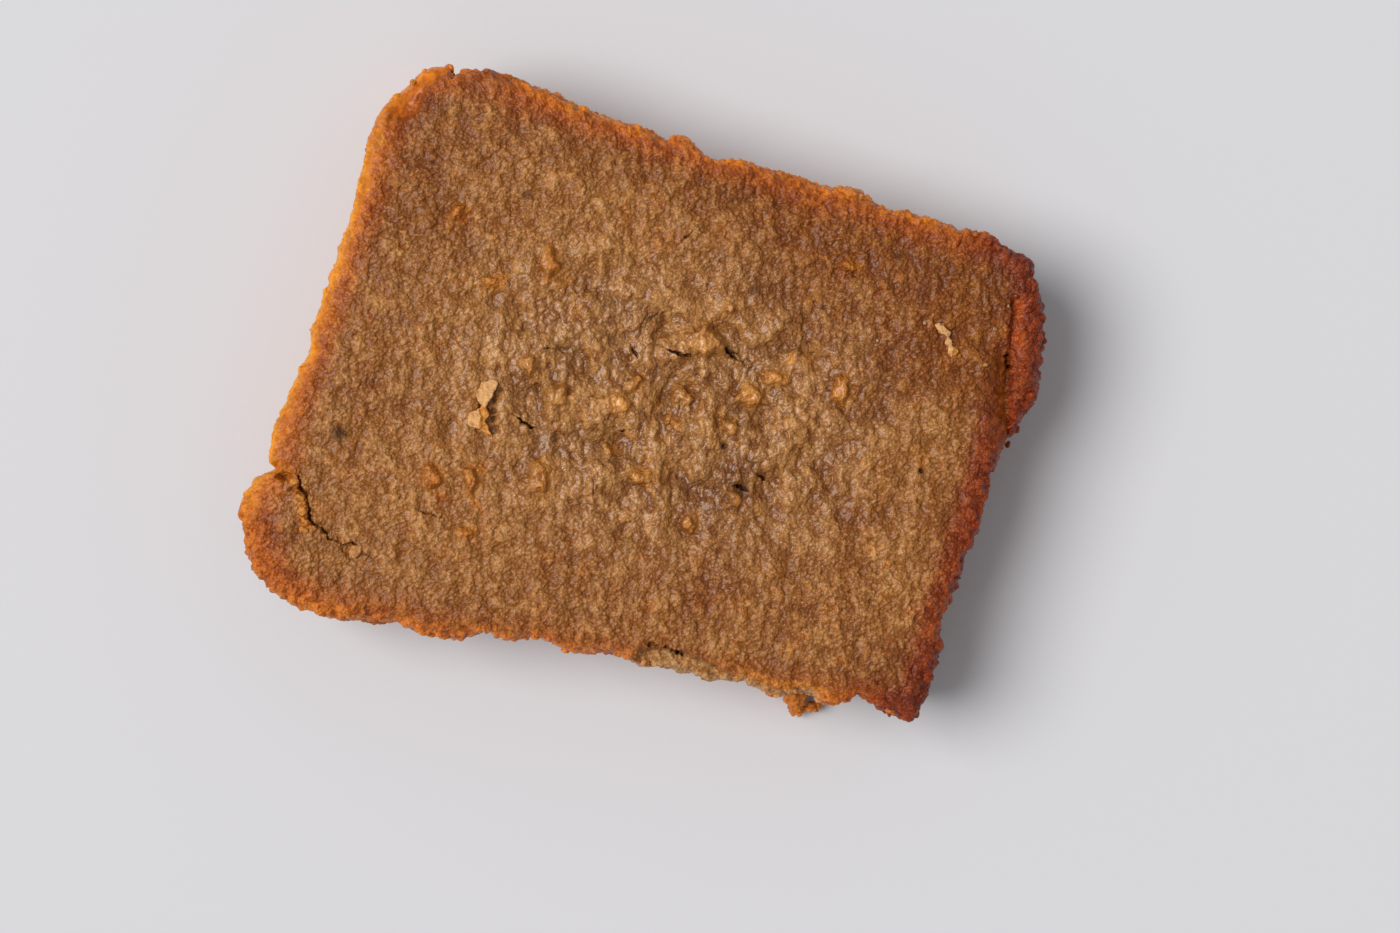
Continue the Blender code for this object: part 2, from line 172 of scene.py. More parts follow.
class Tree:
    """A node tree and the two ways to add to it: by expression, or by one general method."""

    def __init__(self, tree: bpy.types.NodeTree) -> None:
        """Starts on an emptied tree."""
        self.tree = tree
        tree.nodes.clear()

    def put(self, kind: str, settings: dict | None = None, ports: dict | None = None) -> bpy.types.Node:
        """Adds a node.

        Args:
            kind: The node's type.
            settings: Its properties, set first. "stops" are a ramp's places and colours.
            ports: The values or wires of its inputs, by name or number.

        Returns:
            The node.
        """
        node = self.tree.nodes.new(kind)
        for name, value in (settings or {}).items():
            if name == "stops":
                self._set_stops(node.color_ramp, value)
            else:
                setattr(node, name, value)
        for name, value in (ports or {}).items():
            port = node.inputs[name]
            if isinstance(value, Wire):
                self.tree.links.new(value.socket, port)
            else:
                port.default_value = value
        return node

    def add(self, kind: str, settings: dict | None = None, ports: dict | None = None, out: str | int = 0) -> Wire:
        """Adds a node, and returns the wire of the output named or numbered out."""
        return Wire(self, self.put(kind, settings, ports).outputs[out])

    def mix(self, share: "Wire | float", first: "Wire | Colour", second: "Wire | Colour") -> Wire:
        """Blends two colours, from the first at 0 to the second at 1."""
        node = self.tree.nodes.new("ShaderNodeMix")
        node.data_type = "RGBA"
        node.clamp_factor = True
        ports = {0: share, 6: first, 7: second}
        for number, value in ports.items():
            port = node.inputs[number]
            if isinstance(value, Wire):
                self.tree.links.new(value.socket, port)
            else:
                port.default_value = (*value, 1.0) if number else value
        return Wire(self, node.outputs[2])

    def scale(self, vector: Wire, factor: "Wire | float") -> Wire:
        """Multiplies a vector or a colour by a value."""
        return self.add("ShaderNodeVectorMath", {"operation": "SCALE"}, {0: vector, "Scale": factor})

    def join(self, first: Wire, second: Wire, operation: str = "ADD") -> Wire:
        """Adds two vectors, or combines them by another operation."""
        return self.add("ShaderNodeVectorMath", {"operation": operation}, {0: first, 1: second})

    def noise(self, place: Wire, size: float, detail: float = 2.0, out: str = "Fac") -> Wire:
        """Reads noise of a size in millimetres."""
        ports = {"Vector": place, "Scale": 1 / (size * MM), "Detail": detail}
        return self.add("ShaderNodeTexNoise", None, ports, out)

    @staticmethod
    def _set_stops(ramp: bpy.types.ColorRamp, stops: list) -> None:
        """Gives a ramp its stops."""
        while len(ramp.elements) < len(stops):
            ramp.elements.new(0.5)
        for element, (place, colour) in zip(ramp.elements, stops):
            element.position = place
            element.color = (*colour, 1.0)


# The slab's form, as in the solid.


@dataclass(frozen=True)
class Bay:
    """A place along a side where the rim swells out, or is bitten in where out is negative."""

    at: float
    out: float
    half_width: float


@dataclass(frozen=True)
class Corner:
    """Where two side lines would meet, and how far the corner is rounded."""

    x: float
    y: float
    radius: float


@dataclass(frozen=True)
class Outline:
    """The slab's plan: an even rounded rectangle, pulled askew, with bays along its sides."""

    half_length: float = 54.5
    half_width: float = 41.5
    south_west: Corner = Corner(-57.6, -45.5, 15.0)
    south_east: Corner = Corner(52.5, -37.6, 2.2)
    north_west: Corner = Corner(-50.0, 45.2, 12.0)
    north_east: Corner = Corner(56.0, 37.1, 8.5)
    least_corner: float = 0.5
    bay_reach: float = 9.0
    bay_at_foot: float = 0.3
    north_bays: tuple[Bay, ...] = (
        Bay(-43.3, 0.5, 0.9), Bay(-42.1, -1.6, 0.9), Bay(-41, -0.7, 5), Bay(-22, -0.5, 6), Bay(-13, -1.3, 13),
        Bay(-7.5, -1.0, 3.5), Bay(-4.9, 0.3, 4), Bay(0, -2.0, 6), Bay(2.5, 0.6, 3), Bay(6, -0.8, 9),
        Bay(16, -1.0, 6), Bay(22.8, 0.5, 2.4), Bay(29, -0.7, 7), Bay(50, -0.9, 5),
    )
    south_bays: tuple[Bay, ...] = (
        Bay(-44, -0.6, 4), Bay(-40, 0.5, 5), Bay(-29.5, -1.0, 3), Bay(-16, -2.0, 5), Bay(-8, -2.6, 8),
        Bay(3, -2.0, 9), Bay(14, -1.5, 9), Bay(24, -1.6, 7), Bay(34, -0.9, 5), Bay(41, -0.5, 4),
        Bay(43, -2.2, 4), Bay(51, 0.6, 3),
    )
    west_bays: tuple[Bay, ...] = (
        Bay(35.5, 0.8, 4), Bay(29, 1.5, 10), Bay(-5.5, -0.9, 3.5), Bay(-17, 0.7, 4), Bay(-24.0, -1.3, 1.2),
        Bay(-24.4, -0.4, 2), Bay(-26.4, 0.5, 1.6), Bay(-31, 2.0, 7.5),
    )
    east_bays: tuple[Bay, ...] = (Bay(33.5, -1.8, 4), Bay(25, 1.2, 7), Bay(17, 2.7, 11.5), Bay(-20, -1.0, 8))

    @staticmethod
    def _push(bays: tuple[Bay, ...], along: np.ndarray) -> np.ndarray:
        """How far the rim stands out along a side."""
        return sum(bay.out * bell((along - bay.at) / bay.half_width) for bay in bays)

    def _radius(self, s: np.ndarray, t: np.ndarray) -> np.ndarray:
        """The rounding of the corner on this side of both middle lines."""
        north = np.where(s > 0, self.north_east.radius, self.north_west.radius)
        south = np.where(s > 0, self.south_east.radius, self.south_west.radius)
        return np.where(t > 0, north, south)

    def even(self, s: np.ndarray, t: np.ndarray, inset: np.ndarray) -> tuple[np.ndarray, np.ndarray]:
        """The place of a grid point on the even rounded rectangle, drawn in by inset."""
        half_x, half_y = self.half_length - inset, self.half_width - inset
        radius = np.maximum(self._radius(s, t) - inset, self.least_corner)
        x, y = s * half_x, t * half_y
        over_x = np.abs(x) - (half_x - radius)
        over_y = np.abs(y) - (half_y - radius)
        turned = (over_x > 0) & (over_y > 0)
        share = np.maximum(over_x, over_y) / np.maximum(np.hypot(over_x, over_y), 1e-9)
        round_x = np.copysign(half_x - radius + over_x * share, x)
        round_y = np.copysign(half_y - radius + over_y * share, y)
        return np.where(turned, round_x, x), np.where(turned, round_y, y)

    def depth(self, s: np.ndarray, t: np.ndarray, even_x: np.ndarray, even_y: np.ndarray) -> np.ndarray:
        """How far a place on the even rectangle lies inside its outline."""
        radius = self._radius(s, t)
        over_x = np.abs(even_x) - (self.half_length - radius)
        over_y = np.abs(even_y) - (self.half_width - radius)
        beyond = np.hypot(np.maximum(over_x, 0), np.maximum(over_y, 0))
        return radius - beyond - np.minimum(np.maximum(over_x, over_y), 0)

    def askew(self, even_x: np.ndarray, even_y: np.ndarray, foot: np.ndarray) -> tuple[np.ndarray, np.ndarray]:
        """Pulls even places askew and adds the bays, which have almost died out where foot is 1."""
        east = (even_x / self.half_length + 1) / 2
        north = (even_y / self.half_width + 1) / 2
        corners = (
            ((1 - east) * (1 - north), self.south_west),
            (east * (1 - north), self.south_east),
            ((1 - east) * north, self.north_west),
            (east * north, self.north_east),
        )
        x = sum(share * corner.x for share, corner in corners)
        y = sum(share * corner.y for share, corner in corners)
        strength = 1 - (1 - self.bay_at_foot) * foot
        gaps = (
            self.half_width - even_y, self.half_width + even_y,
            self.half_length - even_x, self.half_length + even_x,
        )
        near = [strength * np.maximum(0.0, 1 - gap / self.bay_reach) ** 2 for gap in gaps]
        push_x = near[2] * self._push(self.east_bays, y) - near[3] * self._push(self.west_bays, y)
        push_y = near[0] * self._push(self.north_bays, x) - near[1] * self._push(self.south_bays, x)
        return x + push_x, y + push_y


@dataclass(frozen=True)
class Lump:
    """A swelling of the moist top, with how orange and how smooth it is."""

    x: float
    y: float
    half_x: float
    half_y: float
    height: float
    turn: float = 0.0
    amber: float = 0.35
    slick: float = 0.3

    def reach(self, x: np.ndarray, y: np.ndarray) -> np.ndarray:
        """The bell of the lump over plan places, 1 at its middle."""
        turn = math.radians(self.turn)
        away_x, away_y = x - self.x, y - self.y
        along = (away_x * math.cos(turn) + away_y * math.sin(turn)) / self.half_x
        across = (away_y * math.cos(turn) - away_x * math.sin(turn)) / self.half_y
        return bell(np.hypot(along, across))


@dataclass(frozen=True)
class Spot:
    """A dark or pale place on the top, and how far it is sunk."""

    x: float
    y: float
    radius: float
    strength: float = 1.0
    sunk: float = 0.0


@dataclass(frozen=True)
class Path:
    """A line over the top through points in millimetres, on which a feature lies."""

    points: tuple[Plan, ...]

    def measure(self, x: np.ndarray, y: np.ndarray) -> tuple[np.ndarray, np.ndarray, np.ndarray]:
        """Measures plan places against the path.

        Args:
            x: Places along the slab, in millimetres.
            y: Places across it.

        Returns:
            The distance from the path, the share of its length, and the side: 1 to its left.
        """
        points = np.array(self.points)
        lengths = np.hypot(*np.diff(points, axis=0).T)
        starts = np.concatenate(([0.0], np.cumsum(lengths)[:-1])) / lengths.sum()
        best = np.full(x.shape, 1e9)
        share = np.zeros(x.shape)
        side = np.ones(x.shape)
        for (ax, ay), (bx, by), start, length in zip(points, points[1:], starts, lengths):
            dx, dy = (bx - ax) / length, (by - ay) / length
            along = np.clip((x - ax) * dx + (y - ay) * dy, 0, length)
            gap = np.hypot(x - ax - along * dx, y - ay - along * dy)
            closer = gap < best
            best = np.where(closer, gap, best)
            share = np.where(closer, start + along / lengths.sum(), share)
            cross = (y - ay) * dx - (x - ax) * dy
            side = np.where(closer, np.where(cross >= 0, 1.0, -1.0), side)
        return best, share, side


@dataclass(frozen=True)
class Crack:
    """A split in the top: its path, widest gape, depth, and how far its lips stand up."""

    path: Path
    gape: float
    depth: float
    lip: float = 0.0


@dataclass(frozen=True)
class Top:
    """The top of the slab: its crown, its swells and lumps, and what has split or sunk."""

    rim_height: float = 23.6
    crown_rise: float = 1.3
    swell_length: float = 21.0
    swell_depth: float = 0.75
    lumps: tuple[Lump, ...] = (
        Lump(-14.3, -2.1, 3.0, 2.8, 1.4, 0, 0.3, 0.6), Lump(-5.4, -1.4, 3.2, 2.5, 1.1, 0, 0.5, 0.5),
        Lump(-3.0, 2.6, 1.5, 2.6, 0.8, 14, 0.8), Lump(5.9, 11.5, 4.5, 4.0, 1.5, 0, 0.35, 0.8),
        Lump(4.2, 2.4, 2.8, 1.9, 0.8, 0, 0.3), Lump(3.5, -1.9, 2.0, 1.9, 0.7, 0, 0.5),
        Lump(14.2, 4.5, 3.3, 2.7, 1.0, 14, 0.5), Lump(12.9, -0.6, 2.1, 2.0, 0.8, 0, 0.4),
        Lump(27.8, 9.3, 2.6, 3.6, 1.1, 14, 0.9, 0.5), Lump(17.8, 8.6, 3.7, 1.6, 0.8, -5, 0.8),
        Lump(1.1, -11.4, 3.2, 2.4, 0.9, 0, 0.5), Lump(-30.3, -19.4, 2.5, 2.3, 0.8, 0, 0.7),
        Lump(-13.7, -15.1, 2.8, 4.0, 0.9, 14, 0.5), Lump(-23.9, -17.9, 2.1, 3.8, 1.2, 14, 0.9, 0.4),
        Lump(-20.4, 17.3, 1.7, 4.2, 1.1, 14, 0.8, 0.6), Lump(-19.9, 1.2, 1.7, 2.5, 0.7, 14, 0.4),
        Lump(-28.4, 12.5, 2.2, 2.0, 0.7, 0, 0.8), Lump(-36.3, 21.3, 2.3, 2.0, 0.6, 0, 0.8),
        Lump(-4.4, -8.4, 1.8, 1.8, 0.6, 0, 0.5), Lump(10.4, -16.7, 1.9, 2.0, 0.8, 0, 0.5),
        Lump(16.3, -11.7, 2.0, 2.0, 0.7, 0, 0.4), Lump(24.7, 28.2, 1.9, 1.8, 0.6, 0, 0.6),
        Lump(8.5, 17.1, 1.9, 1.8, 0.7, 0, 0.3), Lump(-23.1, -26.6, 1.8, 1.8, 0.6, 0, 0.9),
    )
    small_lumps: tuple[Lump, ...] = (
        Lump(-17.6, 14.4, 1.0, 1.2, 0.5, 0, 0.9, 0.6), Lump(26.9, 10.2, 1.1, 1.0, 0.5, 0, 1.0, 0.6),
        Lump(28.9, 8.5, 1.0, 1.2, 0.6, 0, 1.0, 0.6), Lump(18.6, 12.1, 0.9, 0.9, 0.5, 0, 1.0, 0.5),
        Lump(-23.1, -21.7, 1.0, 1.1, 0.6, 0, 1.0, 0.6), Lump(-28.3, -22.2, 1.2, 1.1, 0.5, 0, 0.9, 0.4),
        Lump(41.9, 0.7, 0.9, 0.8, 0.5, 0, 0.6, 0.5), Lump(41.3, -15.7, 0.6, 0.6, 0.3, 0, 1.0, 0.5),
        Lump(-50.8, 32.7, 1.3, 1.3, 0.9, 0, 1.0, 1.0), Lump(-51.2, 29.5, 1.1, 1.1, 0.8, 0, 1.0, 1.0),
    )
    sunk_corner: Lump = Lump(-50.0, 38.0, 6.0, 8.0, -2.4, -30)
    hollow: Lump = Lump(7.9, 13.1, 1.1, 1.5, -0.7, 14, 0.0, 1.0)

    def height(self, x: np.ndarray, y: np.ndarray, outline: Outline) -> np.ndarray:
        """The height of the top before it is split, as in the solid."""
        crown = self.crown_rise * (1 - (x / outline.half_length) ** 2) * (1 - (y / outline.half_width) ** 2)
        flat = np.stack((x, y, np.zeros_like(x)), axis=-1) * MM
        swell = self.swell_depth * uneven(flat, self.swell_length, NOISE_PLACE)
        lumps = sum(lump.height * lump.reach(x, y) for lump in (*self.lumps, self.sunk_corner))
        return self.rim_height + crown + swell + lumps


NOISE_PLACE = (3.7, 11.3, 5.9)
AWAY_PLACE = (-3.7, -11.3, -5.9)

OUTLINE = Outline()
TOP = Top()


# A mesh that is still being shaped.


@dataclass
class Surface:
    """Places, quads and triangles, with a value of each name at each place."""

    places: np.ndarray
    quads: np.ndarray
    triangles: np.ndarray
    values: dict[str, np.ndarray]

    def to_object(self, name: str) -> bpy.types.Object:
        """Makes a smooth-shaded mesh object that carries the values as attributes."""
        mesh = bpy.data.meshes.new(name)
        mesh.from_pydata(self.places.tolist(), [], self.quads.tolist() + self.triangles.tolist())
        for title, value in self.values.items():
            if value.ndim == 2:
                mesh.attributes.new(title, "FLOAT_VECTOR", "POINT").data.foreach_set("vector", value.ravel())
            else:
                mesh.attributes.new(title, "FLOAT", "POINT").data.foreach_set("value", value)
        mesh.shade_smooth()
        made = bpy.data.objects.new(name, mesh)
        bpy.context.scene.collection.objects.link(made)
        return made

    def normals(self) -> np.ndarray:
        """The outward direction at each place."""
        corners = [self.quads[:, (0, 1, 2)], self.quads[:, (0, 2, 3)], self.triangles]
        faces = np.concatenate([part for part in corners if len(part)])
        a, b, c = (self.places[faces[:, k]] for k in range(3))
        across = np.cross(b - a, c - a)
        total = np.zeros_like(self.places)
        for k in range(3):
            for axis in range(3):
                total[:, axis] += np.bincount(faces[:, k], across[:, axis], len(self.places))
        return total / np.maximum(np.linalg.norm(total, axis=1, keepdims=True), 1e-30)

    def cut_out(self, quads: np.ndarray, triangles: np.ndarray) -> "Surface":
        """The part of the surface made of the chosen quads and triangles."""
        kept_quads, kept_triangles = self.quads[quads], self.triangles[triangles]
        used = np.unique(np.concatenate((kept_quads.ravel(), kept_triangles.ravel())))
        number = np.zeros(len(self.places), int)
        number[used] = np.arange(len(used))
        values = {title: value[used] for title, value in self.values.items()}
        return Surface(self.places[used], number[kept_quads], number[kept_triangles], values)

    def rim_loop(self) -> list[int]:
        """The open edge of the surface, in the order of its faces."""
        edges = [self.quads[:, (k, (k + 1) % 4)] for k in range(4)]
        edges += [self.triangles[:, (k, (k + 1) % 3)] for k in range(3)]
        edges = np.concatenate(edges)
        count = len(self.places)
        codes = edges[:, 0] * count + edges[:, 1]
        back = edges[:, 1] * count + edges[:, 0]
        open_edges = edges[~np.isin(codes, back)]
        following = dict(open_edges.tolist())
        loop = [int(open_edges[0, 0])]
        while following[loop[-1]] != loop[0]:
            loop.append(following[loop[-1]])
        return loop

    def closed(self, squeeze: Plan, level: float) -> tuple["Surface", list[int]]:
        """Closes the surface inside the slab, where nothing shows.

        Args:
            squeeze: The share of x and of y that the inner edge keeps.
            level: The height of the inner face, in metres.

        Returns:
            The surface with the skirt that leads inwards, and the loop of the inner face.
        """
        loop = self.rim_loop()
        inner = self.places[loop] * np.array((*squeeze, 0.0)) + np.array((0.0, 0.0, level))
        first = len(self.places)
        ring = np.array(loop)
        after = np.roll(ring, -1)
        below = first + np.arange(len(loop))
        skirt = np.stack((after, ring, below, np.roll(below, -1)), axis=1)
        values = {title: np.concatenate((value, value[loop])) for title, value in self.values.items()}
        places = np.concatenate((self.places, inner))
        surface = Surface(places, np.concatenate((self.quads, skirt)), self.triangles, values)
        return surface, below[::-1].tolist()


# The slab.


@dataclass(frozen=True)
class Grid:
    """How finely the surface is drawn, and where it is drawn finer still."""

    cells_long: int = 560
    cells_wide: int = 424
    rim_rows: int = 15
    wall_rows: int = 38
    foot_rows: int = 5
    fine_reach: float = 0.6


@dataclass
class SlabForm:
    """Draws the slab's surface in the solid's form, and splits, sinks and tears it."""

    outline: Outline = OUTLINE
    top: Top = TOP
    grid: Grid = Grid()
    rim_roll: float = 3.2
    wall_draft: float = 2.6
    wall_belly: float = 0.5
    base_roll: float = 1.6
    crag_length: float = 6.5
    crag_depth: float = 0.75
    grain_length: float = 3.1
    grain_depth: float = 0.34
    top_crag_share: float = 0.35
    foot_rough_share: float = 0.4
    corner_split: Crack = Crack(Path((
        (-49.9, -24.2), (-49.5, -25.8), (-48.4, -26.3), (-47.7, -27.4), (-47.1, -28.7), (-46.9, -30.1),
        (-45.7, -30.8), (-44.1, -31.4), (-43.3, -32.4), (-42.4, -32.5), (-41.1, -32.7), (-40.6, -34.0),
    )), 0.8, 1.5, 0.15)
    corner_seam: Path = Path(((-58.5, -25.0), (-55.6, -24.2), (-53.4, -23.4), (-50.6, -23.6)))
    east_valley: Path = Path((
        (50.7, 30.2), (51.3, 26.8), (51.6, 24.9), (52.3, 21.5), (52.4, 18.8), (53.0, 16.5),
        (53.6, 14.5), (53.8, 13.0), (54.6, 11.3), (55.0, 8.0),
    ))
    fin_edge: Path = Path((
        (-41.6, 44.6), (-42.3, 43.2), (-43.2, 41.7), (-44.6, 39.6), (-45.7, 37.4), (-45.9, 35.0),
        (-47.6, 33.4), (-49.6, 32.4), (-53.5, 30.6),
    ))
    break_lip: Path = Path((
        (6.2, -40.0), (7.2, -37.9), (8.6, -36.8), (10.6, -36.3), (14.0, -35.9), (16.2, -36.4), (18.3, -36.7),
        (21.4, -37.4), (23.6, -38.2), (25.6, -40.0),
    ))
    cracks: tuple[Crack, ...] = (
        Crack(Path(((-41.2, -33.0), (-39.4, -32.2), (-38.3, -32.7), (-37.9, -33.6))), 0.3, 1.0, 0.25),
        Crack(Path(((-37.9, -32.9), (-36.9, -33.4), (-35.4, -34.0))), 0.2, 0.6, 0.1),
        Crack(Path(((-20.0, -6.7), (-18.5, -7.7), (-16.9, -8.1), (-15.8, -7.9))), 0.42, 2.2, 0.15),
        Crack(Path(((-0.4, 9.2), (0.6, 8.6), (3.0, 8.4), (4.6, 8.7))), 0.34, 2.0, 0.12),
        Crack(Path(((8.5, 11.6), (9.4, 10.9), (10.6, 10.1), (13.1, 9.3))), 0.4, 2.2, 0.15),
        Crack(Path(((9.6, 11.3), (10.8, 10.7), (11.6, 10.3))), 0.22, 1.2),
        Crack(Path(((-4.9, 7.9), (-4.4, 7.0), (-3.4, 6.3))), 0.28, 1.4, 0.1),
        Crack(Path(((15.2, -9.4), (16.7, -9.2), (18.4, -9.7))), 0.36, 1.8),
        Crack(Path(((18.6, -6.5), (19.5, -7.1), (20.4, -7.3))), 0.4, 1.6),
        Crack(Path(((-3.8, 11.0), (-3.2, 12.5), (-2.1, 14.0))), 0.2, 0.8),
        Crack(Path(((-18.3, 4.1), (-17.0, 4.6), (-15.7, 4.6))), 0.2, 0.8),
        Crack(Path(((-6.2, -12.8), (-5.4, -14.3), (-4.9, -16.2))), 0.2, 0.8),
        Crack(Path(((-4.0, -5.4), (-3.1, -5.1), (-2.2, -4.7))), 0.24, 1.0),
        Crack(Path(((-1.4, 25.2), (-0.6, 26.6), (1.0, 28.5))), 0.18, 0.6),
        Crack(Path(((-31.7, -24.4), (-30.1, -25.0), (-28.6, -24.9), (-26.0, -25.1))), 0.22, 0.9, 0.1),
        Crack(Path(((-37.7, -15.2), (-37.2, -17.0), (-36.0, -19.2))), 0.16, 0.5),
        Crack(Path(((40.7, -19.7), (40.4, -21.2), (39.9, -22.6))), 0.16, 0.5),
    )
    # Dark specks of the pudding's own, sunk hollows painted dark as shade, and a painted shadow beside the flake.
    specks_and_shade_spots: tuple[Spot, ...] = (
        Spot(-26.1, 26.7, 0.8, 0.9, 0.4), Spot(-45.5, -16.2, 1.5, 1.0, 0.3), Spot(16.7, -9.3, 1.5, 0.7, 0.3),
        Spot(12.7, -3.7, 0.6, 1.0, 0.4), Spot(11.4, 20.8, 0.9, 0.75, 0.3), Spot(22.4, 20.7, 0.6, 0.7, 0.3),
        Spot(31.8, 31.3, 1.0, 0.75, 0.2), Spot(34.3, 17.1, 0.35, 0.9, 0.3), Spot(-41.7, 28.0, 0.3, 1.0, 0.4),
        Spot(-38.8, 25.5, 0.3, 0.9, 0.3), Spot(-48.7, 11.1, 0.5, 0.6, 0.2), Spot(-22.7, -37.7, 0.8, 0.5, 0.2),
        Spot(43.2, 0.0, 0.6, 0.9, 0.6), Spot(-12.0, -39.4, 0.35, 0.9, 0.3), Spot(5.2, 24.0, 0.4, 0.6, 0.2),
        # Sunk hollows in the east valley and under the broken south lip, also painted dark: painted shade.
        Spot(51.9, 20.5, 0.5, 0.8, 1.6), Spot(52.6, 18.9, 0.45, 0.8, 1.4), Spot(52.1, 19.8, 0.35, 0.6, 0.8),
        Spot(9.2, -36.3, 0.55, 0.6, 1.0), Spot(10.2, -36.3, 0.4, 0.5, 0.8), Spot(11.7, -36.2, 0.45, 0.8, 1.6),
        Spot(12.5, -36.2, 0.5, 0.8, 1.8), Spot(13.4, -36.4, 0.5, 0.8, 1.8), Spot(14.3, -36.7, 0.4, 0.7, 1.4),
        # Painted shadow on the top beside the flake's raised east edge.
        Spot(-23.0, -3.8, 0.7, 0.7, 0.5), Spot(-23.4, -5.4, 0.8, 0.75, 0.5), Spot(-23.3, -7.0, 0.7, 0.75, 0.5),
        Spot(-22.9, -8.4, 0.9, 0.85, 0.6), Spot(-22.6, -9.7, 0.8, 0.75, 0.5),
        # Two more sunk hollows in the east valley and one by the split, painted dark: painted shade.
        Spot(53.7, 15.2, 0.4, 0.7, 1.0), Spot(54.3, 12.6, 0.45, 0.7, 1.0), Spot(-50.5, -26.3, 0.7, 0.4, 0.7),
    )
    patches: tuple[Spot, ...] = (
        Spot(-15.0, 24.0, 15.0, -0.65), Spot(-31.0, 4.0, 16.0, -0.3), Spot(-30.0, -22.0, 16.0, -0.3),
        Spot(16.0, 23.0, 12.0, 0.2), Spot(16.0, -9.0, 8.0, 1.3), Spot(17.0, -24.0, 10.0, 0.45),
        Spot(-38.0, 33.0, 10.0, -0.15), Spot(20.0, 34.0, 14.0, 0.2), Spot(36.0, -8.0, 14.0, 0.1),
        Spot(1.0, 20.0, 9.0, -0.3), Spot(34.0, -27.0, 14.0, 0.25), Spot(-15.0, -23.0, 10.0, -0.35),
        Spot(-30.0, 25.0, 12.0, -0.35), Spot(46.0, 32.0, 15.0, 0.5), Spot(31.0, 8.0, 9.0, 0.3),
        Spot(44.0, 4.0, 13.0, -0.75), Spot(44.0, -18.0, 11.0, -0.4), Spot(45.0, -31.0, 9.0, 0.5),
    )
    corners: tuple[Spot, ...] = (
        Spot(-51.0, 38.0, 13.0, 1.0), Spot(-53.0, -38.0, 13.0, 0.72), Spot(51.0, -35.0, 13.0, 0.68), Spot(54.0, 34.0, 13.0, 0.68),
    )
    split_pit: Spot = Spot(-52.2, -24.7, 1.35, 1.0, 2.0)
    seam_sunk: float = 0.7
    moist_sunk: float = 0.75
    ledge_height: float = 22.8
    ledge_fall: float = 0.55
    ceiling: float = 25.75
    ceiling_ease: float = 0.16

    def draw(self) -> Surface:
        """Draws the whole closed surface and its values."""
        s, t, quads, triangles, edge_ring = self._top_grid()
        rows = [self._top_row(s, t)]
        ring_s, ring_t = s[edge_ring], t[edge_ring]
        rim = rows[0]["z"][edge_ring]
        for inset, drop, share in self._levels():
            rows.append(self._ring_row(ring_s, ring_t, rim, inset, drop, share))
        faces = [quads]
        above = np.array(edge_ring)
        first = len(s)
        for _ in rows[1:]:
            below = first + np.arange(len(edge_ring))
            faces.append(np.stack((above, below, np.roll(below, -1), np.roll(above, -1)), axis=1))
            above, first = below, first + len(edge_ring)
        base, base_quads, base_triangles = self._base(ring_s, ring_t, above, first)
        rows.append(base)
        joined = {key: np.concatenate([row[key] for row in rows]) for key in rows[0]}
        places = np.stack((joined.pop("x"), joined.pop("y"), joined.pop("z")), axis=1) * MM
        surface = Surface(places, np.concatenate((*faces, base_quads)), np.concatenate((triangles, base_triangles)), joined)
        self._roughen(surface)
        self._shape(surface)
        surface.values["out"] = surface.normals()
        return surface

    def _paths(self) -> list[tuple[Path, float]]:
        """The lines along which the grid is finer, each with its reach."""
        lines = [(self.corner_split.path, 1.0), (self.east_valley, 0.9), (self.break_lip, 0.8)]
        return lines + [(crack.path, self.grid.fine_reach) for crack in self.cracks]

    def _top_grid(self) -> tuple[np.ndarray, np.ndarray, np.ndarray, np.ndarray, list[int]]:
        """The flat grid of the top, with smaller cells along the cracks.

        Returns:
            The grid places s and t, the quads, the triangles, and the numbers round the edge.
        """
        long, wide = self.grid.cells_long, self.grid.cells_wide
        mesh = bmesh.new()
        lines = [[mesh.verts.new((-1 + 2 * i / long, -1 + 2 * j / wide, 0)) for j in range(wide + 1)] for i in range(long + 1)]
        for i in range(long):
            for j in range(wide):
                mesh.faces.new((lines[i][j], lines[i + 1][j], lines[i + 1][j + 1], lines[i][j + 1]))
        self._refine(mesh, self._paths())
        odd = [face for face in mesh.faces if len(face.verts) > 4]
        bmesh.ops.triangulate(mesh, faces=odd)
        mesh.verts.index_update()
        places = np.array([vertex.co[:2] for vertex in mesh.verts])
        quads = np.array([[v.index for v in face.verts] for face in mesh.faces if len(face.verts) == 4])
        triangles = np.array([[v.index for v in face.verts] for face in mesh.faces if len(face.verts) == 3])
        mesh.free()
        return places[:, 0], places[:, 1], quads, triangles.reshape(-1, 3), self._edge_ring(places)

    def _edge_ring(self, places: np.ndarray) -> list[int]:
        """The numbers of the grid's edge, anticlockwise from the south-west."""
        long, wide = self.grid.cells_long, self.grid.cells_wide
        border = np.flatnonzero(np.abs(places).max(1) > 1 - 1e-6)
        steps = np.rint((places[border] + 1) / 2 * (long, wide)).astype(int)
        number = {(i, j): k for (i, j), k in zip(steps.tolist(), border.tolist())}
        ring = [(i, 0) for i in range(long)] + [(long, j) for j in range(wide)]
        ring += [(long - i, wide) for i in range(long)] + [(0, wide - j) for j in range(wide)]
        return [number[step] for step in ring]

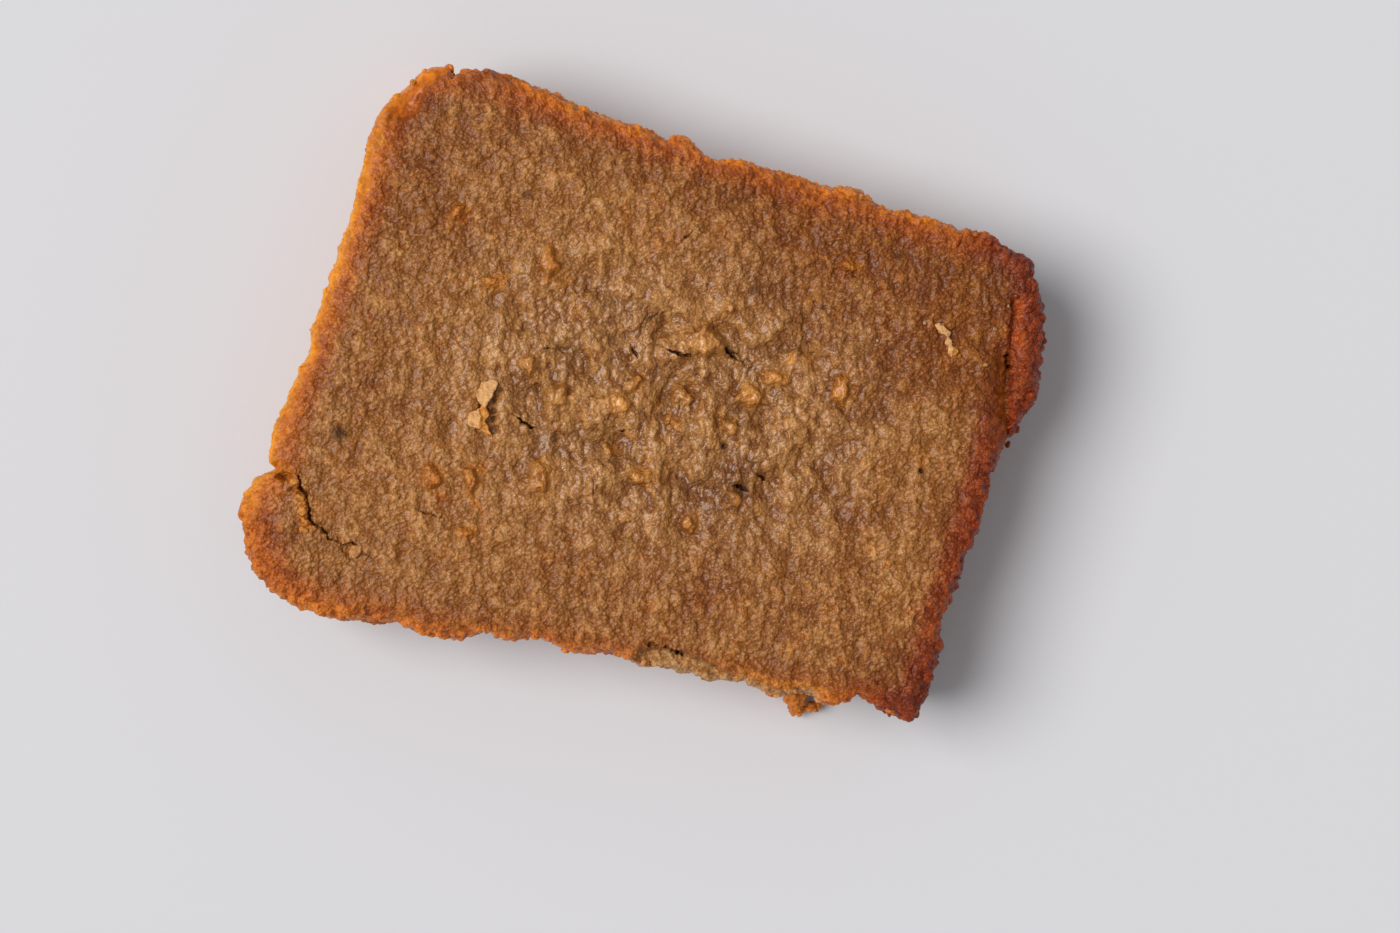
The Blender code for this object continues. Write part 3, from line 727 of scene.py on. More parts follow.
    def _refine(self, mesh: bmesh.types.BMesh, lines: list[tuple[Path, float]]) -> None:
        """Halves the cells near the lines, but not those at the edge of the grid."""
        mesh.faces.ensure_lookup_table()
        middle = np.array([face.calc_center_median()[:2] for face in mesh.faces])
        s, t = middle.T
        x, y = self.outline.askew(*self.outline.even(s, t, np.full(s.shape, self.rim_roll)), np.zeros(s.shape))
        near = np.zeros(len(x), bool)
        for path, reach in lines:
            points = np.array(path.points)
            low, high = points.min(0) - 2, points.max(0) + 2
            some = np.flatnonzero((x > low[0]) & (x < high[0]) & (y > low[1]) & (y < high[1]))
            near[some[path.measure(x[some], y[some])[0] < reach]] = True
        inside = (np.abs(s) < 1 - 3 / self.grid.cells_long) & (np.abs(t) < 1 - 3 / self.grid.cells_wide)
        edges = {edge for k in np.flatnonzero(near & inside) for edge in mesh.faces[k].edges}
        bmesh.ops.subdivide_edges(mesh, edges=list(edges), cuts=1, use_grid_fill=True)

    def _top_row(self, s: np.ndarray, t: np.ndarray) -> dict[str, np.ndarray]:
        """Places and values of the top."""
        inset = np.full(s.shape, self.rim_roll)
        even_x, even_y = self.outline.even(s, t, inset)
        x, y = self.outline.askew(even_x, even_y, np.zeros(s.shape))
        z = self.top.height(x, y, self.outline)
        return self._row(s, t, x, y, z, self.outline.depth(s, t, even_x, even_y), 0.0)

    def _ring_row(self, s: np.ndarray, t: np.ndarray, rim: np.ndarray, inset: float, drop: float, share: float) -> dict:
        """Places and values of one ring below the top's edge."""
        even_x, even_y = self.outline.even(s, t, np.full(s.shape, inset))
        x, y = self.outline.askew(even_x, even_y, np.full(s.shape, min(share, 1.0)))
        if share > 1:
            z = np.full(s.shape, drop)
        else:
            z = (rim - drop) * (1 - share) + self.base_roll * share
        return self._row(s, t, x, y, z, np.zeros(s.shape) + (inset if share == 0 else 0.0), share)

    @staticmethod
    def _row(s: np.ndarray, t: np.ndarray, x: np.ndarray, y: np.ndarray, z: np.ndarray, edge: np.ndarray, wall: float) -> dict:
        """Gathers the places and values that every row has."""
        return {"x": x, "y": y, "z": z, "s": s, "t": t, "edge": edge, "wall": np.full(s.shape, float(wall))}

    def _levels(self) -> list[tuple[float, float, float]]:
        """The rings below the top's edge, as (inset, drop from the rim, height share).

        A share above 1 belongs to the rolled foot, whose drop is its height above the base.
        """
        rows = []
        for k in range(1, self.grid.rim_rows + 1):
            turn = math.pi / 2 * k / self.grid.rim_rows
            rows.append((self.rim_roll * (1 - math.sin(turn)), self.rim_roll * (1 - math.cos(turn)), 0.0))
        for k in range(1, self.grid.wall_rows + 1):
            share = k / self.grid.wall_rows
            inset = self.wall_draft * share - self.wall_belly * math.sin(math.pi * share)
            rows.append((inset, self.rim_roll, share))
        for k in range(1, self.grid.foot_rows + 1):
            turn = math.pi / 2 * k / self.grid.foot_rows
            rows.append((self.wall_draft + self.base_roll * (1 - math.cos(turn)), self.base_roll * (1 - math.sin(turn)), 1.5))
        return rows

    def _base(self, ring_s: np.ndarray, ring_t: np.ndarray, above: np.ndarray, first: int) -> tuple[dict, np.ndarray, np.ndarray]:
        """The flat base, on a grid with cells twice as large as the top's.

        Args:
            ring_s: Grid places round the edge. Not used.
            ring_t: The same, across. Not used.
            above: The numbers of the last ring.
            first: The number of the base's first place.

        Returns:
            Its places and values, its quads and its triangles.
        """
        long, wide = self.grid.cells_long // 2, self.grid.cells_wide // 2
        i, j = np.meshgrid(np.arange(long + 1), np.arange(wide + 1), indexing="ij")
        s, t = (-1 + 2 * i / long).ravel(), (-1 + 2 * j / wide).ravel()
        inset = np.full(s.shape, self.wall_draft + self.base_roll + 0.5)
        even_x, even_y = self.outline.even(s, t, inset)
        x, y = self.outline.askew(even_x, even_y, np.ones(s.shape))
        row = self._row(s, t, x, y, np.zeros(s.shape), np.zeros(s.shape), 2.0)
        number = first + (i * (wide + 1) + j)
        quads = np.stack((number[:-1, 1:], number[1:, 1:], number[1:, :-1], number[:-1, :-1]), axis=-1).reshape(-1, 4)
        around = list(number[:-1, 0]) + list(number[-1, :-1]) + list(number[:0:-1, -1]) + list(number[0, :0:-1])
        around = np.array(around)
        after = np.roll(around, -1)
        start, middle, end = above[0::2], above[1::2], np.roll(above, -2)[0::2]
        fans = (
            np.stack((start, around, middle), axis=1),
            np.stack((middle, around, after), axis=1),
            np.stack((middle, after, end), axis=1),
        )
        return row, quads, np.concatenate(fans)

    def _roughen(self, surface: Surface) -> None:
        """Pushes the surface out and in as in the solid. The flat base keeps its height."""
        normal = surface.normals()
        upward = smooth(normal[:, 2])
        foot = smooth(surface.places[:, 2] / (2 * self.base_roll * MM))
        crag = uneven(surface.places, self.crag_length, NOISE_PLACE) * self.crag_depth
        grain = uneven(surface.places, self.grain_length, AWAY_PLACE) * self.grain_depth
        push = (crag * (1 - (1 - self.top_crag_share) * upward) + grain) * MM
        push = push * (self.foot_rough_share + (1 - self.foot_rough_share) * foot)
        surface.places += normal * push[:, None] * np.stack((np.ones_like(foot), np.ones_like(foot), foot), axis=1)

    def _shape(self, surface: Surface) -> None:
        """Adds the forms that only the top and rim have, and the values that the finish reads."""
        x, y, z = (surface.places / MM).T
        edge, wall = surface.values["edge"], surface.values["wall"]
        count = len(x)
        flat = np.stack((x, y, np.zeros(count)), axis=1) * MM
        high = rise(z, 12.0, 18.0) * (wall < 2)
        drift_x = uneven(flat, 2.6, (7.1, 0.0, 0.0))
        drift_y = uneven(flat, 2.6, (0.0, 9.4, 0.0))
        jitter_x = uneven(flat, 0.8, (2.2, 5.0, 0.0))
        jitter_y = uneven(flat, 0.8, (6.2, 1.0, 0.0))
        near_x, near_y = x + 0.28 * jitter_x, y + 0.28 * jitter_y
        loose_x, loose_y = x + 1.1 * drift_x + 0.3 * jitter_x, y + 1.1 * drift_y + 0.3 * jitter_y

        wet = self._wetness(loose_x, loose_y) * (wall == 0)
        amber, slick = np.zeros(count), np.zeros(count)
        for lump in (*self.top.lumps, *self.top.small_lumps):
            reach = lump.reach(loose_x, loose_y)
            # The amber is the lumps' own orange, shifted 0.7 mm towards +x onto the flank turned from the key light:
            # partly painted shade.
            amber = np.maximum(amber, lump.reach(loose_x - 0.7, loose_y - 0.2) ** 0.8 * lump.amber)
            slick = np.maximum(slick, reach * lump.slick)
        lift = sum(lump.height * lump.reach(loose_x, loose_y) for lump in self.top.small_lumps)
        for lump in self.top.lumps:
            reach = lump.reach(loose_x, loose_y)
            lift = lift + lump.height * (smooth(reach * 1.2) * 1.6 - lump.reach(x, y))
        lift = lift + self.top.hollow.height * self.top.hollow.reach(x, y)
        slick = np.maximum(slick, self.top.hollow.reach(x, y) ** 0.5)
        inside = rise(edge, 1.5, 6.0)
        draped = np.stack((x + 0.25 * y, 0.68 * y, np.zeros(count)), axis=1) * MM
        mounds = self._mounds(x, y)
        # How far the mounds fall away towards +x, the side turned from the key light; the amber laid there is painted
        # shade.
        shaded_flank = self._mounds(x - 0.6, y) - self._mounds(x + 0.6, y)
        amber = np.maximum(amber * 2.5, rise(shaded_flank, 0.15, 0.9) * (0.25 + 0.55 * wet))
        knobs = 0.5 - np.sqrt(uneven(draped, 2.3, (1.0, 4.0, 2.0)) ** 2 + 0.02) * 1.7
        lift = lift + (mounds * (0.2 + 1.2 * wet) - self.moist_sunk * wet + knobs * (0.1 + 0.12 * wet)) * inside
        z = z + lift * high

        # dark: the pudding's own dark specks, and painted shade in cracks, hollows, the split, the valley, the fin's
        # crease and beside the flake.
        marks = {"dark": np.zeros(count), "torn": np.zeros(count), "skin": np.zeros(count), "amber": amber}
        z = self._sink_fin(z, near_x, near_y, marks)
        z = self._sink_valley(z, near_x, near_y, marks)
        z = self._open_split(z, near_x, near_y, marks)
        z = self._break_rim(z, near_x, near_y, edge, wall, marks)
        dark = marks["dark"]
        for crack in self.cracks:
            gap, share, _ = crack.path.measure(near_x, near_y)
            ends = np.sin(np.pi * np.clip(share, 0.04, 0.96)) ** 0.6
            half = crack.gape * (0.65 if crack.gape > 0.22 else 0.45) * ends
            z = z - 0.6 * crack.depth * ends * (1 - smooth(gap / np.maximum(half, 0.02))) * high
            z = z + crack.lip * ends * bell((gap - half) / 0.9) * high
            # Painted shade inside each crack, darker the deeper the crack.
            dark = np.maximum(dark, (1 - rise(gap, half * 0.6, half * 1.2 + 0.1)) * ends * high * min(0.88, 0.5 * crack.depth))
        # Dark specks, and painted shade in the sunk hollows and beside the flake.
        for spot in self.specks_and_shade_spots:
            gap = np.hypot(near_x - spot.x, near_y - spot.y) / spot.radius
            mark = bell(gap * 0.8) * high
            dark = np.maximum(dark, mark ** 0.55 * spot.strength)
            z = z - spot.sunk * bell(gap) * high

        z = self.ceiling - self.ceiling_ease * np.logaddexp(0.0, (self.ceiling - z) / self.ceiling_ease)
        surface.places[:, 2] = np.maximum(z, 0.0) * MM
        marks["dark"] = dark
        surface.values.update(wet=wet, slick=slick, mound=0.5 + 0.4 * mounds, **marks)
        surface.values.update(self._sides(x, y, z, edge, wall))

    @staticmethod
    def _mounds(x: np.ndarray, y: np.ndarray) -> np.ndarray:
        """The soft mounds between the lumps, longer across the slab than along it."""
        wide = np.stack((x, y, np.zeros_like(x)), axis=1) * MM
        close = np.stack((x + 0.25 * y, 0.68 * y, np.zeros_like(x)), axis=1) * MM
        return uneven(wide, 6.4, (3.0, 1.0, 2.0)) + 0.75 * uneven(close, 3.4, (0.0, 7.0, 4.0))

    def _wetness(self, x: np.ndarray, y: np.ndarray) -> np.ndarray:
        """Where the top is wet and glossy: its middle, in an uneven oval."""
        return 1 - rise(np.hypot((x - 2.0) / 41, (y - 0.5) / 26), 0.4, 1.2)

    def _sink_fin(self, z: np.ndarray, x: np.ndarray, y: np.ndarray, marks: dict[str, np.ndarray]) -> np.ndarray:
        """Lowers the smooth skin of the north-west corner below the top's own edge."""
        gap, share, side = self.fin_edge.measure(x, y)
        out = np.where(side > 0, -gap, gap)
        corner = (x < -38) * (y > 28)
        part = rise(out, -0.1, 0.6) * (1 - rise(share, 0.7, 1.0)) * corner
        crease = bell((out - 0.4) / 0.8) * (1 - rise(share, 0.55, 0.8)) * corner
        marks["skin"] = np.maximum(marks["skin"], part)
        # The crease beside the skin is painted darker: painted shade.
        marks["dark"] = np.maximum(marks["dark"], crease * 0.22)
        return z - 1.2 * part - 0.4 * crease

    def _sink_valley(self, z: np.ndarray, x: np.ndarray, y: np.ndarray, marks: dict[str, np.ndarray]) -> np.ndarray:
        """Sinks the valley between the top and the flap of the east rim."""
        gap, share, side = self.east_valley.measure(x, y)
        within = (x > 46) * (z > 8)
        north = rise(share, 0.0, 0.08) * (1 - rise(share, 0.3, 0.46)) * within
        south = rise(share, 0.34, 0.5) * (1 - 0.6 * rise(share, 0.88, 1.0)) * within
        inner, outer = bell(gap / 3.8) * (side < 0), bell(gap / 2.4) * (side > 0)
        step = bell(gap / 0.5) * (side < 0)
        # The valley's smooth inner slope takes the east skin colour, which is painted shade.
        marks["skin"] = np.maximum(marks["skin"], bell(gap / 3.6) ** 0.5 * (side < 0) * south)
        # An amber patch on the flap's inner slope, where it faces the key light: painted light.
        patch = (1 - rise(gap, 0.8, 2.5)) * (side > 0) * north
        marks["amber"] = np.maximum(marks["amber"], patch * 0.95)
        # A dark line along the valley floor: painted shade.
        marks["dark"] = np.maximum(marks["dark"], bell(gap / 0.8) * south * 0.35)
        sunk = (1.5 * inner + 1.7 * bell(gap / 1.0) * (side > 0) + 0.3 * bell(gap / 0.7)) * south
        return z - np.maximum(sunk, (1.2 * outer + 1.2 * step) * north)

    def _open_split(self, z: np.ndarray, x: np.ndarray, y: np.ndarray, marks: dict[str, np.ndarray]) -> np.ndarray:
        """Opens the split behind the south-west corner, with its pale broken lip."""
        crack = self.corner_split
        gap, share, side = crack.path.measure(x, y)
        flat = np.stack((x, y, np.zeros_like(x)), axis=1) * MM
        ragged = 1 + 0.55 * uneven(flat, 1.5, (2.0, 3.0, 0.0))
        width = (0.25 + 0.6 * rise(share, 0.08, 0.25)) * ragged * (1 - 0.75 * rise(share, 0.66, 0.76))
        half = crack.gape / 2 * width
        high = z > 10
        cut = 1 - smooth(gap / np.maximum(half, 0.03))
        depth = crack.depth * (1 - 0.6 * rise(share, 0.6, 0.9))
        pit = bell(np.hypot(x - self.split_pit.x, (y - self.split_pit.y) * 1.15) / self.split_pit.radius) ** 0.7
        lip = bell((gap - half) / 2.3) * (side < 0) * (1 - rise(share, 0.5, 0.62)) * (gap > half * 0.8) * high
        seam_gap, seam_share, _ = self.corner_seam.measure(x, y)
        seam = bell(seam_gap / 1.1) * (1 - rise(seam_share, 0.8, 1.0)) * (z > 6)
        crumbled = uneven(flat, 1.2, (7.0, 3.0, 0.0)) * 0.7 + 0.2
        z = z - (depth * cut + self.split_pit.sunk * pit) * high - self.seam_sunk * seam + lip * crumbled
        shade = np.maximum(0, 1 - gap / np.maximum(half * 1.3, 0.05)) ** 0.5 * high
        marks["dark"] = np.maximum(marks["dark"], shade * 0.3)
        marks["amber"] = np.maximum(marks["amber"], np.maximum(lip * 1.7, seam * 1.1))
        marks["amber"] = np.maximum(marks["amber"], pit * high * 0.9)
        # The pit is painted darker as well: painted shade.
        marks["dark"] = np.maximum(marks["dark"], pit * high * 0.22)
        return z

    def _break_rim(
        self, z: np.ndarray, x: np.ndarray, y: np.ndarray, edge: np.ndarray, wall: np.ndarray, marks: dict[str, np.ndarray],
    ) -> np.ndarray:
        """Takes the crust off a stretch of the south rim, down to a rough ledge."""
        gap, _, side = self.break_lip.measure(x, y)
        within = (x > 4.5) & (x < 26.5) & (y < -33)
        outside = np.where(side < 0, gap, -gap)
        flat = np.stack((x, y, np.zeros_like(x)), axis=1) * MM
        rough = uneven(flat, 1.7, (4.0, 8.0, 1.0)) + 0.5 * uneven(flat, 0.8, (2.0, 0.0, 1.0))
        floor = self.ledge_height - self.ledge_fall * outside + 0.5 * rough
        cut = rise(outside, -0.05, 0.5) * within
        z = np.where(cut > 0, np.minimum(z, z + (floor - z) * cut), z)
        # A dark line on the ledge at the foot of the broken lip: painted shade.
        marks["dark"] = np.maximum(marks["dark"], bell((outside - 0.2) / 0.5) * within * 0.12 * (wall == 0))
        ragged = rise(x, 21.5, 25.0) * (1 - rise(x, 36.0, 38.5)) * (y < -33)
        solid = np.stack((x, y, z), axis=1) * MM
        fray = 0.14 * uneven(solid, 4.0, (1.0, 2.0, 6.0)) + 0.07 * uneven(solid, 1.5, (5.0, 2.0, 6.0))
        reach = rise(x + 12 * fray, 4.5, 8.0) * (1 - rise(x + 12 * fray, 35.0, 39.0)) * (1 - rise(wall + fray, 0.12, 0.36))
        marks["torn"] = np.maximum(cut, ragged * (1 - rise(edge, 0.5, 1.6))) * reach
        band = ragged * bell((edge - 1.9) / 1.4) ** 0.7 * (wall == 0)
        marks["amber"] = np.maximum(marks["amber"], band)
        return z

    def _sides(self, x: np.ndarray, y: np.ndarray, z: np.ndarray, edge: np.ndarray, wall: np.ndarray) -> dict[str, np.ndarray]:
        """Which side a place belongs to, for the browning with its painted light on the west and painted shade on the
        east, and where crumbs cling.
        """
        flat = np.stack((x, y, np.zeros_like(x)), axis=1) * MM
        wander = uneven(flat, 9.0, (5.0, 2.0, 0.0)) * 2.2 + uneven(flat, 3.0, (1.0, 6.0, 0.0)) * 1.1
        west = rise(-x - 0.5 * np.maximum(y - 15, 0) + wander, 26.0, 48.0)
        east = rise(x + 0.1 * y + 0.5 * np.maximum(-24 - y, 0) + wander, 39.0, 52.0)
        south = rise(-y + wander * 0.5, 24.0, 38.0) * (1 - east)
        tone = 0.3 + 0.85 * rise(x + 1.1 * y, 28.0, 78.0) + 0.3 * rise(y - 0.4 * x, 20.0, 44.0)
        for patch in self.patches:
            tone = tone + patch.strength * bell(np.hypot(x - patch.x, y - patch.y) / patch.radius)
        corner = np.zeros_like(x)
        for spot in self.corners:
            near = np.minimum(1.3 * bell(np.hypot(x - spot.x, y - spot.y) / spot.radius), 1.0)
            corner = corner + near * spot.strength * (1 - rise(edge, 3.0, 9.0))
        plain = bell(np.hypot((x + 36.5) / 6.5, (y - 43.0) / 5.0)) * (wall == 0)
        near = (edge < 1.2) * (wall < 0.75) * (z > 5)
        crumbly = near * (0.3 + 0.9 * rise(uneven(flat, 7.0, (8.0, 2.0, 0.0)), -0.2, 0.4))
        crumbly = crumbly + near * 2.0 * ((x > 18) & (x < 40) | (x > 44)) * (y < -30)
        return {
            "west": west, "east": east, "south": south, "tone": tone + 0.03 * wander, "crumbly": crumbly,
            "corner": corner, "edge": edge + 2.4 * plain,
        }


# Finishes.


@dataclass(frozen=True)
class PuddingFinish:
    """The slab's finish: moist tan in the middle, browned orange to red-brown at the rim, the west rim painted lighter
    as painted light and the east darker as painted shade.
    """

    pale: Colour = linear(190, 137, 81)
    brown: Colour = linear(154, 92, 26)
    damp: Colour = linear(190, 138, 80)
    damp_low: Colour = linear(143, 96, 46)
    amber: Colour = linear(210, 136, 54)
    damp_amber: Colour = linear(215, 150, 73)
    east_amber: Colour = linear(204, 100, 32)
    skin: Colour = linear(208, 118, 18)
    east_skin_shaded: Colour = linear(146, 78, 20)
    north_rim: Colour = linear(230, 134, 26)
    west_rim_sunlit: Colour = linear(238, 156, 32)
    east_rim_shaded: Colour = linear(154, 58, 14)
    south_rim: Colour = linear(218, 126, 42)
    north_band: Colour = linear(186, 100, 32)
    west_band_sunlit: Colour = linear(202, 114, 32)
    east_band_shaded: Colour = linear(154, 70, 24)
    south_band: Colour = linear(176, 106, 42)
    torn: Colour = linear(192, 146, 98)
    dark_speck_and_shade: Colour = linear(66, 31, 10)
    wall: Colour = linear(178, 108, 50)
    wall_low: Colour = linear(126, 68, 28)
    corner_tint: Colour = (0.72, 0.57, 0.37)
    crease_shade_tint: Colour = (0.63, 0.44, 0.16)
    crest_highlight_tint: Colour = (1.2, 1.18, 1.1)
    fine_size: float = 0.5
    dry_roughness: float = 0.42
    wet_roughness: float = 0.3
    coat_roughness: float = 0.22

    def material(self, name: str) -> bpy.types.Material:
        """Builds the material.

        Args:
            name: Its name.

        Returns:
            The material, which reads the surface's values and Object coordinates.
        """
        made = bpy.data.materials.new(name)
        made.use_nodes = True
        tree = Tree(made.node_tree)
        place = tree.add("ShaderNodeTexCoord", out="Object")
        read = {
            title: tree.add("ShaderNodeAttribute", {"attribute_name": title}, out="Fac")
            for title in (
                "edge", "wall", "west", "east", "south", "tone", "wet", "amber", "slick", "skin", "dark", "torn",
                "mound", "grain", "speck", "corner",
            )
        }
        broad = tree.noise(place, 7.0, 3.0)
        patch = tree.noise(place, 2.2, 3.0)
        fine = tree.noise(place, 0.3, 2.0)
        gap = tree.add("ShaderNodeTexVoronoi", None, {"Vector": place, "Scale": 1 / (self.fine_size * MM)}, "Distance")
        bead = 1 - ((gap * 1.3) ** 2.0).at_most(1.0)

        tone = read["tone"] + (broad - 0.5) * 1.2 + (patch - 0.5) * 0.6 + (0.5 - read["mound"]) * 0.5 + (0.5 - read["speck"]) * 0.2
        colour = tree.mix(tone.between(0.0, 1.0), self.pale, self.brown)
        moist = tree.mix((patch * 0.45 + broad * 0.5 + read["mound"] * 0.5 + read["speck"] * 0.1
                          - (read["tone"] - 0.3) * 0.35).between(0.56, 0.98), self.damp_low, self.damp)
        colour = tree.mix(tree.noise(place, 3.3, 2.0).between(0.54, 0.72) * 0.4, colour, self.amber)
        colour = tree.mix(read["wet"] * 0.8, colour, moist)
        depth = read["edge"] + (patch - 0.5) * 2.4 + (broad - 0.5) * 2.4
        # The west rim and band are painted lighter, as painted light, and the east rim, band and skin darker, as
        # painted shade, over real browning.
        rim = tree.mix(read["south"], self.north_rim, self.south_rim)
        rim = tree.mix(read["west"] * (1 - read["south"] * 0.8), rim, self.west_rim_sunlit)
        rim = tree.mix(read["east"], rim, self.east_rim_shaded)
        band = tree.mix(read["south"], self.north_band, self.south_band)
        band = tree.mix(read["west"], band, self.west_band_sunlit)
        band = tree.mix(read["east"], band, self.east_band_shaded)
        colour = tree.mix(1 - (depth + (depth - 4.4) * read["east"] * 0.3 - read["east"] * 0.6).between(1.8, 7.0), colour, band)
        colour = tree.mix(1 - depth.between(0.2, 2.6), colour, rim)
        walls = tree.mix(0.35, tree.mix((patch + broad * 0.6).between(0.55, 1.05), self.wall_low, self.wall), rim)
        colour = tree.mix(read["wall"].between(0.05, 0.4), colour, walls)
        colour = tree.join(colour, tree.mix(read["corner"], (1.0, 1.0, 1.0), self.corner_tint), "MULTIPLY")
        amber = tree.mix(read["wet"], self.amber, self.damp_amber)
        amber = tree.mix(read["east"], amber, self.east_amber)
        colour = tree.mix(read["amber"] * (0.5 + patch * 0.6), colour, amber)
        colour = tree.mix(read["skin"], colour, tree.mix(read["east"], tree.mix(depth.between(0.2, 1.8), rim, self.skin), self.east_skin_shaded))
        colour = tree.mix(read["torn"] * (0.7 + read["speck"] * 0.4), colour, self.torn)
        golden = (1 - read["edge"].between(1.4, 3.4)) * (0.3 + read["west"] * 0.7) * (1 - read["south"]) * (1 - read["east"])
        speckle = (tree.noise(place, 1.1, 3.0) - 0.5) * (1 - depth.between(1.0, 6.0)) * (1 - golden * 0.7) * 2.2
        # Painted shade in the creases between the grains and a painted highlight on their crests, by the grain's
        # height.
        relief = read["grain"] * 0.8 + bead * 0.2 + (read["speck"] - 0.5) * 0.25 + (fine - 0.5) * 0.15 + speckle
        tint = tree.mix(relief.between(0.1, 0.95), self.crease_shade_tint, self.crest_highlight_tint)
        colour = tree.join(colour, tint, "MULTIPLY")
        # Dark specks in their own colour, and painted shade where the dark mark stands for cracks, hollows and shadow.
        colour = tree.mix(read["dark"] * 0.92, colour, self.dark_speck_and_shade)

        gloss = (read["wet"] * 0.7 + read["slick"] * 0.3 + read["skin"] * 0.3).at_most(1.0)
        rough = self.dry_roughness - gloss * (self.dry_roughness - self.wet_roughness) + (fine - 0.5) * 0.25
        rough = rough + read["wall"].between(0.0, 0.3) * 0.35 + read["dark"] * 0.3
        calm = (read["skin"] * 0.75 + read["slick"] * 0.4 + golden * 0.5).at_most(0.9)
        height = (bead * 0.8 + fine * 0.3) * (1 - calm)
        bump = tree.add("ShaderNodeBump", None, {"Strength": 1.0, "Distance": 0.22 * MM, "Height": height})
        shader = tree.add(
            "ShaderNodeBsdfPrincipled",
            {"subsurface_method": "RANDOM_WALK"},
            {
                "Base Color": colour,
                "Roughness": rough,
                "IOR": 1.38,
                "Coat Weight": (0.1 + read["edge"].between(1.0, 6.0) * 0.2 + read["wet"] * 0.37 + read["slick"] * 0.2) * (1 - read["wall"].between(0.0, 0.3) * 0.7)
                * (1 - read["dark"] * 0.9),
                "Specular IOR Level": 0.42,
                "Coat Roughness": self.coat_roughness,
                "Subsurface Weight": 0.3,
                "Subsurface Radius": (1.0, 0.5, 0.25),
                "Subsurface Scale": 0.9 * MM,
                "Normal": bump,
            },
        )
        tree.put("ShaderNodeOutputMaterial", None, {"Surface": shader})
        return made


@dataclass(frozen=True)
class FloorFinish:
    """The plain pale floor."""

    colour: Colour = linear(224, 225, 230)
    roughness: float = 0.6

    def material(self) -> bpy.types.Material:
        """Builds the material."""
        made = bpy.data.materials.new("pale_floor")
        made.use_nodes = True
        tree = Tree(made.node_tree)
        shader = tree.add("ShaderNodeBsdfPrincipled", None, {"Base Color": (*self.colour, 1.0), "Roughness": self.roughness})
        tree.put("ShaderNodeOutputMaterial", None, {"Surface": shader})
        return made


# Geometry Nodes.


def apply_tree(target: bpy.types.Object, tree: bpy.types.NodeTree, settings: dict[str, object]) -> None:
    """Runs a Geometry Nodes tree on an object and leaves a plain mesh.

    Args:
        target: The object.
        tree: The tree.
        settings: The values of its named inputs.
    """
    modifier = target.modifiers.new(tree.name, "NODES")
    modifier.node_group = tree
    for item in tree.interface.items_tree:
        if item.item_type == "SOCKET" and item.in_out == "INPUT" and item.name in settings:
            modifier[item.identifier] = settings[item.name]
    graph = bpy.context.evaluated_depsgraph_get()
    result = bpy.data.meshes.new_from_object(target.evaluated_get(graph))
    target.modifiers.clear()
    old = target.data
    target.data = result
    bpy.data.meshes.remove(old)
    result.name = target.name


class GeometryTree(Tree):
    """A Geometry Nodes tree with named inputs."""

    def __init__(self, name: str, inputs: dict[str, tuple[str, object]]) -> None:
        """Starts the tree.

        Args:
            name: Its name.
            inputs: The inputs after the geometry, each with its socket type and its value.
        """
        group = bpy.data.node_groups.new(name, "GeometryNodeTree")
        super().__init__(group)
        group.interface.new_socket("Geometry", in_out="OUTPUT", socket_type="NodeSocketGeometry")
        group.interface.new_socket("Geometry", in_out="INPUT", socket_type="NodeSocketGeometry")
        for title, (kind, value) in inputs.items():
            item = group.interface.new_socket(title, in_out="INPUT", socket_type=kind)
            if value is not None:
                item.default_value = value
        self.given = self.put("NodeGroupInput")

    def input(self, name: str) -> Wire:
        """The wire of a named input."""
        return Wire(self, self.given.outputs[name])

    def named(self, name: str, kind: str = "FLOAT") -> Wire:
        """Reads an attribute."""
        return self.add("GeometryNodeInputNamedAttribute", {"data_type": kind}, {"Name": name}, "Attribute")

    def keep(self, geometry: Wire, name: str, value: Wire) -> Wire:
        """Stores a value at each point of the geometry."""
        ports = {"Geometry": geometry, "Name": name, "Value": value}
        return self.add("GeometryNodeStoreNamedAttribute", {"data_type": "FLOAT", "domain": "POINT"}, ports)

    def end(self, geometry: Wire) -> bpy.types.NodeTree:
        """Realizes what is there, gives it the material, and closes the tree."""
        geometry = self.add("GeometryNodeRealizeInstances", None, {"Geometry": geometry})
        ports = {"Geometry": geometry, "Material": self.input("Material")}
        geometry = self.add("GeometryNodeSetMaterial", None, ports)
        self.put("NodeGroupOutput", None, {"Geometry": geometry})
        return self.tree


